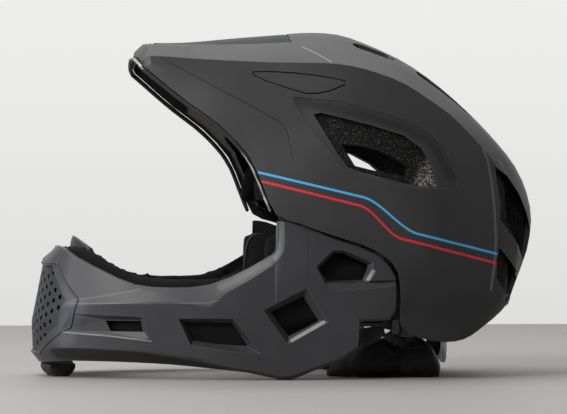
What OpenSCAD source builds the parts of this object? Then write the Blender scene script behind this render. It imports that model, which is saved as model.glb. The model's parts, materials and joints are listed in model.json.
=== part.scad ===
// Child's full face cycle helmet with a detachable chin guard.
// X runs from the chin (-X) to the back of the head (+X), Y to the wearer's right, Z up.
// The origin lies under the middle of the helmet, on the surface that it stands on.

/* [Shell] */
// Distance from the origin forward to the tip of the visor
visor_reach = 99; // [92:1:106]
// Distance from the origin back to the rear of the shell
rear_reach = 166.8; // [162:1:176]
// Height of the crown above the surface
crown_height = 227.5; // [220:0.5:238]
// Half of the width of the shell at the ears
shell_half_width = 95.5; // [92:0.5:102]
// Wall of the outer shell
shell_wall = 3; // [2:0.5:4]
// Depth of the pockets and bevels pressed into the shell
pocket_depth = 1.4; // [0.8:0.2:1.8]
// Radius of the soft edging round the face opening
trim_radius = 1.7; // [1.2:0.1:2.4]

/* [Liner and head] */
// Gap between the shell and the foam liner
liner_gap = 0.5; // [0.3:0.1:1]
// Length of the head cavity
head_length = 188; // [180:1:194]
// Width of the head cavity
head_width = 152; // [146:1:158]
// Height of the top of the head cavity above the surface
head_top = 201; // [194:1:204]
// Thickness of the comfort pads
pad_thickness = 8; // [5:1:11]

/* [Chin guard] */
// Distance from the origin forward to the front of the chin guard
chin_reach = 167.7; // [158:0.5:176]
// Wall of the chin guard
guard_wall = 5; // [4:0.5:6]
// Width of the open seam between the shell and the chin guard
seam_gap = 1; // [0.6:0.1:1.6]
// Thickness of the foam behind the wall of the chin guard
guard_foam = 11; // [8:1:14]
// Thickness of the cheek pads
cheek_thickness = 17; // [12:1:20]

/* [Mouth grille] */
// Diameter of the breathing holes
breath_hole = 3.7; // [2.5:0.2:4.3]
// Distance between the breathing holes
breath_pitch = 6.8; // [6.4:0.2:9]
// Thickness of the grille plate
grille_plate = 2.4; // [1.8:0.2:3]

/* [Straps] */
// Width of the chin strap webbing
strap_width = 15; // [12:1:18]
// Thickness of the chin strap webbing
strap_thick = 1.6; // [1.2:0.2:2]
// Height of the padded sleeves on the chin strap
sleeve_height = 24; // [20:1:26]

/* [Latch] */
// Thickness of the latch tongue
tongue_thick = 2.8; // [2.2:0.2:3.2]
// Height of the latch tongue
tongue_height = 11; // [9:1:13]
// Clearance of the tongue in its receiver
latch_clear = 0.3; // [0.2:0.05:0.5]
// Travel of the release button
button_travel = 2.5; // [1.5:0.5:3]

/* [Fit dial] */
// Radius of the dial knob
dial_radius = 12.5; // [11:0.5:14]
// Depth of the dial knob
dial_depth = 9; // [7:0.5:11]
// Teeth on the pinion
pinion_teeth = 10; // [10:2:10]
// Module of the pinion and the racks
gear_module = 1; // [0.9:0.05:1.1]
// Radius of the dial's shaft
shaft_radius = 2.4; // [2:0.1:2.8]

/* [Hidden] */
$fn = 32;
// The reaches at which the outlines below are drawn, and the ear zone, which never stretches
drawn_visor = 99;
drawn_rear = 168;
drawn_crown = 227.5;
drawn_half = 95.5;
drawn_chin = 166.5;
ear_front = -13;
ear_rear = 68;
ear_top = 105;

function shell_x(x) =
    x < ear_front ? ear_front + (x - ear_front) * (visor_reach + ear_front) / (drawn_visor + ear_front)
    : x > ear_rear ? ear_rear + (x - ear_rear) * (rear_reach - ear_rear) / (drawn_rear - ear_rear)
    : x;
function chin_x(x) =
    x < ear_front ? ear_front + (x - ear_front) * (chin_reach + ear_front) / (drawn_chin + ear_front) : x;
function fit_y(y) = y * shell_half_width / drawn_half;
function crown_z(z) =
    z > ear_top ? ear_top + (z - ear_top) * (crown_height - ear_top) / (drawn_crown - ear_top) : z;
function on_shell(p) = [shell_x(p[0]), fit_y(p[1]), crown_z(p[2])];

function unit(v) = v / norm(v);
function flip_y(p) = [p[0], -p[1], p[2]];
function reversed(list) = [for (i = [len(list) - 1 : -1 : 0]) list[i]];
function clamp(v, low, high) = min(max(v, low), high);
function total(list, i = 0) = i == len(list) - 1 ? list[i] : list[i] + total(list, i + 1);
function middle(list) = total(list) / len(list);

// A smooth curve through the points of a list, at the real-valued place u along it
function curve_at(list, u) =
    let (
        last = len(list) - 1,
        k = clamp(floor(u), 0, last - 1),
        t = u - k,
        a = list[max(k - 1, 0)],
        b = list[k],
        c = list[k + 1],
        d = list[min(k + 2, last)]
    )
    ((2 * b) + (c - a) * t + (2 * a - 5 * b + 4 * c - d) * t * t + (3 * b - a - 3 * c + d) * t * t * t) / 2;

// The straight line through the points of a table of [place, value] rows
function table_at(table, x) =
    let (
        rows = [for (i = [0 : len(table) - 2]) if (x >= table[i][0] && x <= table[i + 1][0]) i],
        k = len(rows) > 0 ? rows[0] : (x < table[0][0] ? 0 : len(table) - 2),
        t = clamp((x - table[k][0]) / (table[k + 1][0] - table[k][0]), 0, 1)
    )
    table[k][1] + (table[k + 1][1] - table[k][1]) * t;

// A closed solid through rings of points, all with the same count
module loft(rings, ladder = false) {
    n = len(rings[0]);
    m = len(rings);
    points = [for (ring = rings) each ring, if (!ladder) each [middle(rings[0]), middle(rings[m - 1])]];
    sides = [
        for (i = [0 : m - 2], j = [0 : n - 1])
            let (k = (j + 1) % n, a = i * n + j, b = i * n + k, c = a + n, d = b + n)
            each [[a, b, d], [a, d, c]]
    ];
    caps = [
        for (j = [0 : n - 1])
            let (k = (j + 1) % n)
            each [[m * n, k, j], [m * n + 1, (m - 1) * n + j, (m - 1) * n + k]]
    ];
    // A curved strip's ends close between its two rows, as their middle lies outside it
    rungs = [
        for (j = [0 : n / 2 - 2])
            let (k = j + 1, a = n - 1 - j, b = n - 2 - j, end = (m - 1) * n)
            each [[k, j, a], [k, a, b], [end + j, end + k, end + a], [end + k, end + b, end + a]]
    ];
    polyhedron(points, concat(sides, ladder ? rungs : caps));
}

module both_sides() {
    children();
    mirror([0, 1, 0]) children();
}

// The four guide lines of the shell at each station from the visor to the nape:
// rim, lower crease of the ridge, top edge of the ridge, crown, and the bulge between rim and crease
stations = [
    [[-95, 60, 202], [-97, 54, 205.5], [-98, 40, 209], [-99, 0, 211.5], 0],
    [[-90, 62, 198], [-91.5, 57.5, 209.5], [-92.5, 43, 216.5], [-93, 0, 219], 0.5],
    [[-68, 70, 179.5], [-66, 60, 207.8], [-67, 44, 216], [-68, 0, 220.3], 2],
    [[-47.5, 77, 164.6], [-42, 62, 206.5], [-42, 45, 215], [-41.6, 0, 223], 4],
    [[-29.5, 82, 145.5], [-15, 64, 205.3], [-15, 46, 215.3], [-15, 0, 225.3], 6],
    [[-20.3, 86, 125], [5, 65.5, 205], [5, 47, 215.8], [5, 0, 226.8], 7.5],
    [[-12, 89, 106.5], [22, 66.5, 204.8], [21, 48, 214.8], [20, 0, 227.5], 9],
    [[3, 92, 100.7], [38.7, 67, 203], [37, 48, 212.5], [37, 0, 226.3], 10],
    [[23, 94.5, 93.3], [56, 67, 198.5], [54, 48, 208], [53, 0, 221.3], 10.5],
    [[43.4, 95.5, 86.9], [74, 66, 191.5], [73, 47, 201], [76, 0, 211.3], 11],
    [[57.5, 95.5, 79.5], [90, 65, 181.5], [90, 46, 191], [97, 0, 198], 11.5],
    [[66, 95.5, 69], [104, 63, 172], [107, 44, 180], [117, 0, 181], 12],
    [[67.8, 95, 50], [117, 60.5, 160], [121, 43, 168.5], [133, 0, 165], 12.5],
    [[68, 93.5, 34.5], [129, 57, 147.5], [135, 41, 154.5], [146, 0, 151], 13],
    [[80, 91, 27], [140, 52.5, 134], [147, 38, 140], [158, 0, 136], 13],
    [[98, 86, 24], [150, 48, 119.5], [155.5, 35, 122.5], [165.5, 0, 119.5], 12],
    [[111, 80, 25.5], [155, 45.5, 100], [160, 33, 103], [168, 0, 102], 11],
    [[122, 72, 31], [153, 44.5, 80], [158, 31.5, 83], [164.5, 0, 83], 8],
    [[130, 63.5, 37.5], [148.5, 43.5, 58.5], [153, 29.5, 61.5], [157, 0, 63.5], 4],
    [[136, 54, 42.5], [144.5, 40, 45.5], [149, 27, 47], [152, 0, 48], 1],
];
guides = [for (k = [0 : 3]) [for (s = stations) on_shell(s[k])]];
bulges = [for (s = stations) s[4]];
last_station = len(stations) - 1;
head_middle = [42, 0, 113];
crown_bulge = 2.2;
side_steps = 6;
top_steps = 4;

// A point on the strip between two guide lines, swelled away from the middle of the head
function strip_point(a, b, t, bulge) =
    let (
        chord = b - a,
        out = (a + b) / 2 - head_middle,
        square = out - chord * (out * chord) / (chord * chord)
    )
    a + chord * t + unit(square) * bulge * 4 * t * (1 - t);

// Half of the section at station u, from the rim to the crown
function half_section(u) =
    let (
        rim = curve_at(guides[0], u),
        crease = curve_at(guides[1], u),
        ridge = curve_at(guides[2], u),
        crown = curve_at(guides[3], u),
        bulge = curve_at(bulges, u),
        fade = clamp(u / 2, 0, 1) * clamp((last_station - u) / 2, 0, 1)
    )
    [
        for (j = [0 : side_steps - 1]) strip_point(rim, crease, j / side_steps, bulge),
        crease,
        for (j = [0 : top_steps]) strip_point(ridge, crown, j / top_steps, crown_bulge * fade),
    ];
function section(u) =
    let (half = half_section(u))
    concat([for (p = half) flip_y(p)], reversed([for (j = [0 : len(half) - 2]) half[j]]));

// The net of the shell's outer face, and the same net moved inwards by a depth
function net(places) = [for (u = places) section(u)];
function moved_in(grid, depth) =
    let (m = len(grid) - 1, n = len(grid[0]) - 1)
    [
        for (i = [0 : m]) [
            for (j = [0 : n])
                let (
                    along = grid[min(i + 1, m)][j] - grid[max(i - 1, 0)][j],
                    across = grid[i][min(j + 1, n)] - grid[i][max(j - 1, 0)]
                )
                grid[i][j] - unit(cross(along, across)) * depth
        ]
    ];
// The net with its four edges carried on past the rim, to cut right through
function carried_on(grid, reach) =
    let (
        m = len(grid) - 1,
        wide = [
            for (row = grid)
                let (n = len(row) - 1)
                [
                    row[0] + unit(row[0] - row[2]) * reach,
                    for (j = [1 : n - 1]) row[j],
                    row[n] + unit(row[n] - row[n - 2]) * reach
                ]
        ]
    )
    concat(
        [[for (j = [0 : len(wide[0]) - 1]) wide[0][j] + unit(wide[0][j] - wide[1][j]) * reach]],
        wide,
        [[for (j = [0 : len(wide[0]) - 1]) wide[m][j] + unit(wide[m][j] - wide[m - 1][j]) * reach]]
    );

fine_places = [for (u = [0 : 0.5 : last_station]) u];
fine_net = net(fine_places);
coarse_net = net([for (u = [0 : last_station]) u]);

// The column inside the lower rim of the shell
module neck_hole() {
    rims = [
        for (row = moved_in(coarse_net, shell_wall))
            if (row[0][0] > -14) [row[0][0] - 0.9, row[0][1] + 0.9]
    ];
    translate([0, 0, -10]) linear_extrude(72)
        polygon(concat(rims, reversed([for (p = rims) [p[0], -p[1]]])));
}

// The point at station u and at the share t of the way up from the rim to the crease
function side_point(u, t) =
    strip_point(curve_at(guides[0], u), curve_at(guides[1], u), t, curve_at(bulges, u));
function side_out(u, t) =
    let (
        along = side_point(u + 0.05, t) - side_point(u - 0.05, t),
        up = side_point(u, t + 0.02) - side_point(u, t)
    )
    -unit(cross(along, up));

// A patch of the shell's side between two edges, given as tables of [u, t], from one depth to another
module side_patch(low, high, top, floor, grow = 0, steps = 8) {
    first = low[0][0] - grow * 0.03;
    last = low[len(low) - 1][0] + grow * 0.03;
    loft([
        for (i = [0 : steps])
            let (
                u = first + (last - first) * i / steps,
                t0 = table_at(low, u) - grow * 0.01,
                t1 = table_at(high, u) + grow * 0.01,
                at = [for (k = [0 : 3]) [u, t0 + (t1 - t0) * k / 3]]
            )
            [
                for (p = at) side_point(p[0], p[1]) - side_out(p[0], p[1]) * floor,
                for (p = reversed(at)) side_point(p[0], p[1]) - side_out(p[0], p[1]) * top
            ]
    ]);
}
inlay_low = [
    [3.75, 0.83], [3.95, 0.79], [4.5, 0.78], [5.1, 0.77], [5.95, 0.77], [6.3, 0.79], [6.9, 0.83], [7.05, 0.87]
];
inlay_high = [[3.75, 0.86], [3.9, 0.885], [4.85, 0.9], [5.85, 0.9], [6.7, 0.892], [7.05, 0.885]];
bevel_low = [
    [5.4, 0.7], [6.05, 0.6], [7.1, 0.47], [7.9, 0.36], [9.5, 0.385], [10.4, 0.45], [11.3, 0.55], [11.9, 0.66]
];
recess_low = [
    [13.6, 0.985], [13.85, 0.9], [14.25, 0.82], [14.4, 0.735],
    [14.7, 0.6], [15.1, 0.45], [16, 0.41], [17.2, 0.4]
];
recess_high = [[13.6, 0.99], [14, 0.99], [17.2, 0.99]];
bevel_high = [[5.4, 0.72], [6.4, 0.75], [8.35, 0.76], [10, 0.79], [11.05, 0.77], [11.9, 0.69]];

// Outlines seen from the side, in X and Z, at the drawn sizes
side_vent = [
    [12.5, 171], [17, 172.2], [49, 164.3], [71, 157.6], [83, 149], [89, 138], [92.5, 126.5],
    [91, 123.6], [77, 124.8], [41.5, 133.8], [33.5, 137], [27, 146]
];
side_vent_inner = [
    [30, 152], [42, 151], [55, 147.8], [68, 141], [74, 136], [73, 130.5], [50, 135], [38.5, 137.8]
];
rear_vent_high = [
    [136.2, 137.5], [145, 132], [154, 120.5], [160.5, 108], [164.5, 97], [168, 86], [167, 68],
    [153.6, 83.3], [138, 103], [138.6, 115], [136.6, 128]
];
rear_vent_low = [[136.8, 84.8], [148, 71], [162, 55.5], [152, 51], [141, 55], [134, 65], [134.4, 76.8]];
rear_vent_near = 18;

function seen_from_side(outline) = [for (p = outline) [shell_x(p[0]), crown_z(p[1])]];

// A block along Y with the given side outline, on the wearer's left (-Y) side
module side_block(outline, near, far) {
    translate([0, -fit_y(near), 0]) rotate([90, 0, 0]) linear_extrude(fit_y(far - near))
        polygon(outline);
}

// A rounded slot through the top, laid along the dome at the given place and slope
module top_slot(x, y, z, slope, long, wide) {
    translate([shell_x(x), fit_y(y), crown_z(z)]) rotate([0, slope, 0]) hull() for (k = [-1, 1])
        translate([k * (long - wide) / 2, 0, 0]) cylinder(h = 90, d = wide, center = true, $fn = 16);
}
module top_slots(grow) {
    for (side = [-1, 1]) {
        top_slot(58, side * 27, 213, 24, 30 + grow, 14 + grow);
        top_slot(104, side * 26, 184, 46, 48 + grow, 15 + grow);
    }
}

module outer_shell() color([0.22, 0.22, 0.23]) {
    difference() {
        loft(fine_net);
        loft(carried_on(moved_in(coarse_net, shell_wall), 8));
        neck_hole();
        both_sides() {
            hull() side_block(seen_from_side(side_vent), 40, 130);
            side_block(seen_from_side(rear_vent_high), rear_vent_near, 90);
            hull() side_block(seen_from_side(rear_vent_low), rear_vent_near, 90);
            side_patch(inlay_low, inlay_high, -4, pocket_depth, 1);
            side_patch(bevel_low, bevel_high, -4, pocket_depth * 0.6);
            side_patch(recess_low, recess_high, -4, pocket_depth * 0.7);
        }
        top_slots(0);
        top_panel(-4, pocket_depth, 0);
    }
}

// The dark panel let into the flat of the visor, between the two ridges
module top_panel(top, floor, inward) {
    places = [for (u = [1.3 : 0.4 : 4.9]) clamp(u, 1.3 + inward, 4.9 - inward)];
    loft([
        for (u = places)
            let (
                half = [for (t = [0.22 + inward * 0.4, 0.5, 0.75, 1])
                    strip_point(curve_at(guides[2], u), curve_at(guides[3], u), t, crown_bulge * 0.9)],
                row = concat(half, [for (k = [2 : -1 : 0]) flip_y(half[k])])
            )
            [for (p = row) p + [0, 0, -floor], for (p = reversed(row)) p + [0, 0, -top]]
    ], ladder = true);
}
module visor_top_panel() color([0.1, 0.1, 0.1]) {
    top_panel(0.3, pocket_depth - 0.1, 0.06);
}
module side_inlay() {
    side_patch(inlay_low, inlay_high, 0.2, pocket_depth - 0.1);
}
module inlay_left() color([0.16, 0.16, 0.17]) mirror([0, 1, 0]) side_inlay();
module inlay_right() color([0.16, 0.16, 0.17]) side_inlay();

// A round edging swept along a list of points
module edging(path, radius, sides = 6) {
    last = len(path) - 1;
    loft([
        for (i = [0 : last])
            let (
                along = unit(path[min(i + 1, last)] - path[max(i - 1, 0)]),
                side = unit(cross(along, [0, 0.31, 1])),
                up = cross(side, along)
            )
            [
                for (k = [0 : sides - 1])
                    let (a = 360 * k / sides)
                    path[i] + radius * (side * cos(a) + up * sin(a))
            ]
    ]);
}
trim_gap = 0.15;
visor_half = half_section(0);
port_half = concat(
    [for (u = [5.8 : -0.5 : 0.3]) curve_at(guides[0], u)],
    [for (k = [0, 5, side_steps, side_steps + 2, side_steps + 4]) visor_half[k]]
);
// The edging stands off the rim by its own radius, ahead of and below it
function trim_point(p) = p + (trim_radius + trim_gap) * unit([-1, 0, -0.85]) + [0, p[1] > 0.1 ? -1.6 : 0, 0];
module port_trim() color([0.55, 0.54, 0.52]) {
    half = [for (p = port_half) trim_point(p)];
    edging(concat(half, reversed([for (i = [0 : len(half) - 2]) flip_y(half[i])])), trim_radius);
}

// The foam liner: its face follows the shell, its inside is the head cavity
head_centre_z = 113;
head_half = [head_length / 2, head_width / 2, head_top - head_centre_z];
rim_share = 0.05;
function liner_section(u) =
    let (half = [for (j = [0 : len(half_section(u)) - 1])
        j == 0 ? side_point(u, rim_share) : half_section(u)[j]])
    concat([for (p = half) flip_y(p)], reversed([for (j = [0 : len(half) - 2]) half[j]]));
liner_places = concat([2.4], [for (u = [3 : 18]) u], [18.6]);
liner_net = moved_in([for (u = liner_places) liner_section(u)], shell_wall + liner_gap);

module head_form(inset = 0, drop = 160) {
    for (z = [0, -drop])
        translate([head_middle[0], 0, head_centre_z + z])
            scale([head_half[0] - inset, head_half[1] - inset, head_half[2] - inset] / head_half[0])
                sphere(head_half[0], $fn = 36);
}
// How far back the pockets behind the rear vents start
rear_pocket = 143;
function pocket_outline(vent) = [for (p = vent) [max(p[0], rear_pocket), p[1]]];
module eps_liner() color([0.5, 0.49, 0.48]) {
    difference() {
        loft(liner_net);
        hull() head_form();
        both_sides() {
            hull() side_block(seen_from_side(side_vent_inner), 30, 130);
            for (vent = [rear_vent_high, rear_vent_low])
                side_block(seen_from_side(pocket_outline(vent)), rear_vent_near + 5, 90);
            hull() translate([ear_rear - 6, -fit_y(110), 22]) cube([34, fit_y(36), 50]);
        }
        top_slots(-4);
    }
}

// Stations of the chin guard from the middle of the mouth to the ear: the plan point, then the
// height and the inset of its top edge, upper crease, widest line, lower crease and bottom edge
guard_stations = [
    [[-166.5, 0], [85, 17.5], [77.5, 8.5], [36, 0.4], [15, 1.2], [9, 6]],
    [[-165, 18], [85.3, 17], [77, 8.2], [36, 0.4], [15, 1.2], [9.3, 6]],
    [[-160.5, 34], [85.6, 13], [74.5, 6], [38, 0], [17, 1], [10, 6]],
    [[-152, 47], [83.8, 9], [62, 3.5], [44, 0.1], [19, 1], [11, 6]],
    [[-143, 55.5], [79, 7.4], [52, 1], [47, 0], [20, 1.2], [11.4, 6]],
    [[-126, 66.5], [70.5, 7.4], [53.5, 1.4], [48.2, 0], [19.7, 1.4], [11.4, 6]],
    [[-104, 77], [61.5, 5.4], [57.3, 2.8], [49.4, 0], [18.4, 1.4], [11, 6]],
    [[-80, 84.5], [59.4, 5], [56.4, 2.6], [50.3, 0], [15, 1.4], [9.8, 6]],
    [[-55, 89.5], [61.5, 6], [53, 1.6], [47, 0], [10.5, 1.2], [7.5, 5]],
    [[-30.4, 92.3], [72, 7], [64, 1], [40, 0], [7, 1], [4.7, 5]],
    [[-15.6, 93.2], [80.5, 7], [73.5, 1], [40, 0], [4, 1], [1.6, 4]],
    [[-13.2, 93.3], [84, 7], [76.5, 1], [40, 0], [3.5, 1], [1, 4]],
    [[-12.2, 93.4], [102, 4], [79, 0.5], [40, 0], [3, 1], [0, 4]],
    [[-8.5, 93.5], [102, 4], [81, 0.3], [42, 0], [2.5, 1], [0, 4]],
    [[-3, 93.7], [101, 3.5], [83, 0.3], [42, 0], [3, 1], [0, 4]],
    [[13.5, 94], [95.8, 3], [82, 0.3], [45, 0], [9, 1], [6.6, 3]],
    [[28, 94.3], [90.5, 3], [78, 0.3], [45, 0], [14, 1], [11.6, 3]],
    [[40.3, 94.5], [86.7, 2.5], [74, 0.3], [45, 0], [22, 0.5], [20, 2]],
    [[41.3, 94.5], [86.3, 2.5], [74, 0.3], [50, 0], [39, 0.5], [37.6, 1.5]],
    [[54, 94.3], [79.7, 2], [69, 0.3], [52, 0], [40, 0.5], [38.2, 1.5]],
    [[61, 94], [73, 1.5], [65, 0.3], [52, 0], [40.5, 0.5], [38.8, 1.5]],
    [[65, 93.7], [66, 1], [60, 0.3], [54, 0], [47, 0.5], [44.5, 1]],
];
guard_lines = [for (k = [0 : 5]) [for (g = guard_stations) g[k]]];
guard_places = concat([for (u = [0 : 0.5 : 8.5]) u], [for (u = [9 : len(guard_stations) - 1]) u]);
rim_line = [for (k = [6 : 11]) [stations[k][0][0], stations[k][0][2]]];

function guard_plan(u) = let (p = curve_at(guard_lines[0], u)) [chin_x(p[0]), fit_y(p[1])];
function guard_out(u) =
    let (
        a = guard_plan(max(u - 0.1, 0)),
        b = guard_plan(u + 0.1),
        d = b - (u < 0.1 ? [b[0], -b[1]] : a)
    )
    [-d[1], d[0]] / norm(d);
// No point of the guard rises past the seam under the shell's rim
function under_seam(x, z) = x < ear_front ? z : min(z, table_at(rim_line, x) - 1.5 * seam_gap);
function guard_point(u, line, inset) =
    let (
        v = curve_at(guard_lines[line], u),
        p = guard_plan(u) - guard_out(u) * (v[1] + inset)
    )
    [p[0], p[1], under_seam(p[0], v[0])];
function guard_ring(u) = [
    for (line = [1 : 5]) guard_point(u, line, 0),
    for (line = [5 : -1 : 1])
        let (inset = curve_at(guard_lines[line], u)[1])
        guard_point(u, line, max(clamp((9 - u) * 0.6, 0.8, 2.5), guard_wall - 0.6 * inset))
];
function whole_bow(half) = concat(
    reversed([for (i = [1 : len(half) - 1]) [for (p = half[i]) flip_y(p)]]),
    [for (ring = half) ring]
);

// Vents of the chin guard. Each is cut by convex parts, and each part by faces of [x, z, depth]
function face_at(outline, depth) = [for (p = outline) [p[0], p[1], depth]];
function sunk(outer, inner) = [face_at(outer, -4), face_at(outer, 0), face_at(inner, guard_wall + 2)];
guard_vents = [
    [
        [
            [[-143, 42.2, -4], [-120, 41.3, -4], [-120, 28, -4], [-149, 30.6, -4]],
            [[-143, 42.2, 0], [-120, 41.3, 0], [-120, 28, 0], [-149, 30.6, 0]],
            [[-140, 41, 0.6], [-120, 38.5, 2.8], [-120, 31, 2.8], [-144, 32, 0.6]]
        ],
        [
            face_at([[-120.1, 41.3], [-97, 40.3], [-92.7, 25.5], [-120.1, 28]], -4),
            face_at([[-120.1, 41.3], [-97, 40.3], [-92.7, 25.5], [-120.1, 28]], 0),
            face_at([[-120.1, 38.5], [-98, 38.5], [-95.7, 30.5], [-120.1, 31]], 2.8)
        ],
        [
            face_at([[-120, 38], [-98, 38], [-96.4, 31], [-116.7, 31]], 0),
            face_at([[-120, 38], [-98, 38], [-96.4, 31], [-116.7, 31]], guard_wall + 2)
        ]
    ],
    [
        sunk(
            [[-75, 39.7], [-40, 39.6], [-21.6, 16.3], [-67, 21.9]],
            [[-68.4, 36], [-40.7, 35.3], [-34, 24.3], [-64, 26.8]]
        )
    ],
    [
        sunk(
            [[-21, 45], [7, 59.3], [21.3, 37.3], [-5.6, 22.6]],
            [[-13.3, 43.3], [4, 51.6], [12.3, 38.5], [-3.8, 30.3]]
        )
    ],
    [
        sunk(
            [[13, 73], [24, 84], [31, 84.3], [51, 75.5], [47, 62], [19, 61.2]],
            [[16.5, 71.8], [25.5, 80.6], [30, 80.8], [45.5, 73.5], [42, 65.5], [21.8, 64.6]]
        ),
        [
            [[19.5, 56.6, -4], [66.5, 60.4, -4], [66.5, 64.3, -4], [20, 63.4, -4]],
            [[19.5, 56.6, -0.1], [66.5, 60.4, -0.1], [66.5, 64.3, 1.8], [20, 63.4, 1.8]]
        ]
    ],
];
guard_sides = [for (g = guard_stations) [g[0][0], g[0][1]]];
function on_guard(p, inset) = [chin_x(p[0]), fit_y(table_at(guard_sides, p[0])) - inset, p[1]];

// The mouth opening, seen from the front, in Y and Z
mouth_outline = [[-25, 17.5], [-48, 34.5], [-52, 51], [-35, 73], [35, 73], [52, 51], [48, 34.5], [25, 17.5]];
mouth_middle = [0, 45];
mouth_radius = 76;
mouth_low_z = 14;
mouth_seat = 0.7;
// The lean of the guard's front, as heights and distances back
mouth_profile = [[14, 1.8], [17, 1], [36, 0.3], [50, 3.1], [75, 8]];
mouth_clear = 0.3;
module mouth_block(grow) {
    translate([-chin_reach - 10, 0, 0]) rotate([90, 0, 90]) linear_extrude(60)
        polygon([for (p = mouth_outline) mouth_middle + (p - mouth_middle) * (1 + grow / 38)]);
}

module chin_guard() color([0.22, 0.22, 0.23]) {
    difference() {
        loft(whole_bow([for (u = guard_places) guard_ring(u)]));
        hull() mouth_block(mouth_clear);
        both_sides() for (vent = guard_vents) for (part = vent) hull() for (face = part) {
            points = [for (p = face) on_guard([p[0], p[1]], p[2])];
            loft([points, [for (p = points) p + [0, 0.02, 0]]]);
        }
    }
}

// A plate of the mouth's curve, leaning back towards the top
module mouth_shell(depth) {
    face = [for (p = mouth_profile) [mouth_radius - mouth_seat - p[1], p[0] - mouth_low_z]];
    translate([mouth_radius - chin_reach, 0, mouth_low_z]) rotate([0, 0, 132])
        rotate_extrude(angle = 96, $fn = 90)
            polygon(concat(face, reversed([for (p = face) p - [depth, 0]])));
}
// The breathing holes stand in rows that rise from the middle to both sides
breath_columns = 7;
breath_rise = 0.36;
breath_margin = 4.2;
function in_mouth(y, z) =
    z > 17.5 + breath_margin && z < 73 - breath_margin
    && abs(y) < table_at([[17.5, 25], [34, 48], [50, 52], [73, 35]], z) - breath_margin - 1;
module mouth_grille() color([0.17, 0.17, 0.18]) {
    difference() {
        intersection() {
            mouth_shell(grille_plate);
            mouth_block(0);
        }
        for (i = [-breath_columns : breath_columns], k = [0 : 10]) {
            z = mouth_low_z + 1 + k * breath_pitch + abs(i) * breath_pitch * breath_rise;
            turn = i * breath_pitch / (mouth_radius - mouth_seat) * 180 / PI;
            y = (mouth_radius - mouth_seat) * sin(turn);
            if (in_mouth(y, z))
                translate([mouth_radius - chin_reach, 0, z]) rotate([0, -90, -turn])
                    translate([0, 0, mouth_radius - 25]) cylinder(h = 30, d = breath_hole);
        }
    }
}

// The rubber foot under the chin
foot_angle = 40;
foot_radius = 82;
module chin_foot() color([0.08, 0.08, 0.08]) {
    translate([foot_radius + 1.5 - chin_reach, 0, 0]) rotate([0, 0, 180 - foot_angle / 2])
        rotate_extrude(angle = foot_angle, $fn = 96)
            polygon([
                [71, 0], [74.5, 2.2], [76.8, 5.8], [76.4, 8.7], [57, 8.7], [57.6, 5], [60, 1.6], [63, 0]
            ]);
}

// The foam behind the chin guard, swelled towards the mouth
foam_gap = 0.3;
foam_outline = [
    [0.5, 0.94], [0.05, 0.6], [0.05, 0.3], [0.1, 0], [0.8, 0.02], [1.15, 0.3], [1.15, 0.68], [0.95, 1]
];
function foam_ring(u) =
    let (
        top = guard_point(u, 1, 0)[2] + 2 + 5.5 * clamp((u - 2) / 2, 0, 1) * clamp((9 - u) / 1.5, 0, 1),
        thick = guard_foam * (u < 3.5 ? 0.78 : 1),
        low = curve_at(guard_lines[5], u)[0] + 8,
        out = guard_out(u),
        p = guard_plan(u),
        inset = guard_wall + foam_gap + 1.2,
        relief = 7 * clamp((56 - p[1]) / 12, 0, 1)
    )
    [
        for (k = foam_outline)
            let (
                z = low + (top - low) * k[1],
                lean = max(0, (z - 42) * 0.19) * (u < 3.5 ? 1 : 0.6),
                back = relief * clamp((74 - z) / 8, 0, 1) * (k[0] > 0.5 ? 0.3 : 1),
                q = p - out * (inset + lean + back + thick * k[0])
            )
            [q[0], q[1], z]
    ];
module chin_foam() color([0.07, 0.07, 0.07]) {
    loft(whole_bow([for (u = [0 : 1 : 9]) foam_ring(u)]));
}

// The raised rubber shield over the nose, behind the top edge of the chin guard
module breath_shield() color([0.12, 0.12, 0.12]) {
    half = [for (k = [0 : 6]) let (y = 4.5 * k, drop = 0.010 * y * y, back = 0.013 * y * y) [
        for (p = [[-133, 74], [-132, 83], [-134.5, 91], [-138, 92.8], [-139.6, 88], [-139.2, 77]])
            [chin_x(p[0] - 0.6) + back, y, p[1] - drop]
    ]];
    loft(whole_bow(half));
}

// Cheek pads: crowned cushions between the chin guard and the cheek
cheek_front = -20;
cheek_rear = 51;
cheek_gap = 0.9;
cheek_outline = [[0.3, 0], [0.8, 0.07], [1.02, 0.35], [1, 0.7], [0.75, 0.94], [0.3, 1], [0, 0.9], [0, 0.1]];
module cheek_pad() {
    outer = fit_y(91) - guard_wall - cheek_gap;
    thick = min(cheek_thickness, outer - strap_y - 2.6);
    loft([
        for (i = [0 : 8])
            let (
                t = i / 8,
                x = cheek_front + (cheek_rear - cheek_front) * t,
                top = min(96, under_seam(max(x, ear_front + 0.1), 200) - 7),
                low = 26 + 14 * t,
                full = 1 - pow(abs(2 * t - 1), 4) * 0.55
            )
            [
                for (k = cheek_outline)
                    let (share = 0.5 + (k[1] - 0.5) * (0.9 + 0.1 * full))
                    [x, outer - thick * full * k[0], low + (top - low) * share]
            ]
    ]);
}
module cheek_pad_left() color([0.06, 0.06, 0.06]) mirror([0, 1, 0]) cheek_pad();
module cheek_pad_right() color([0.06, 0.06, 0.06]) cheek_pad();

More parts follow.
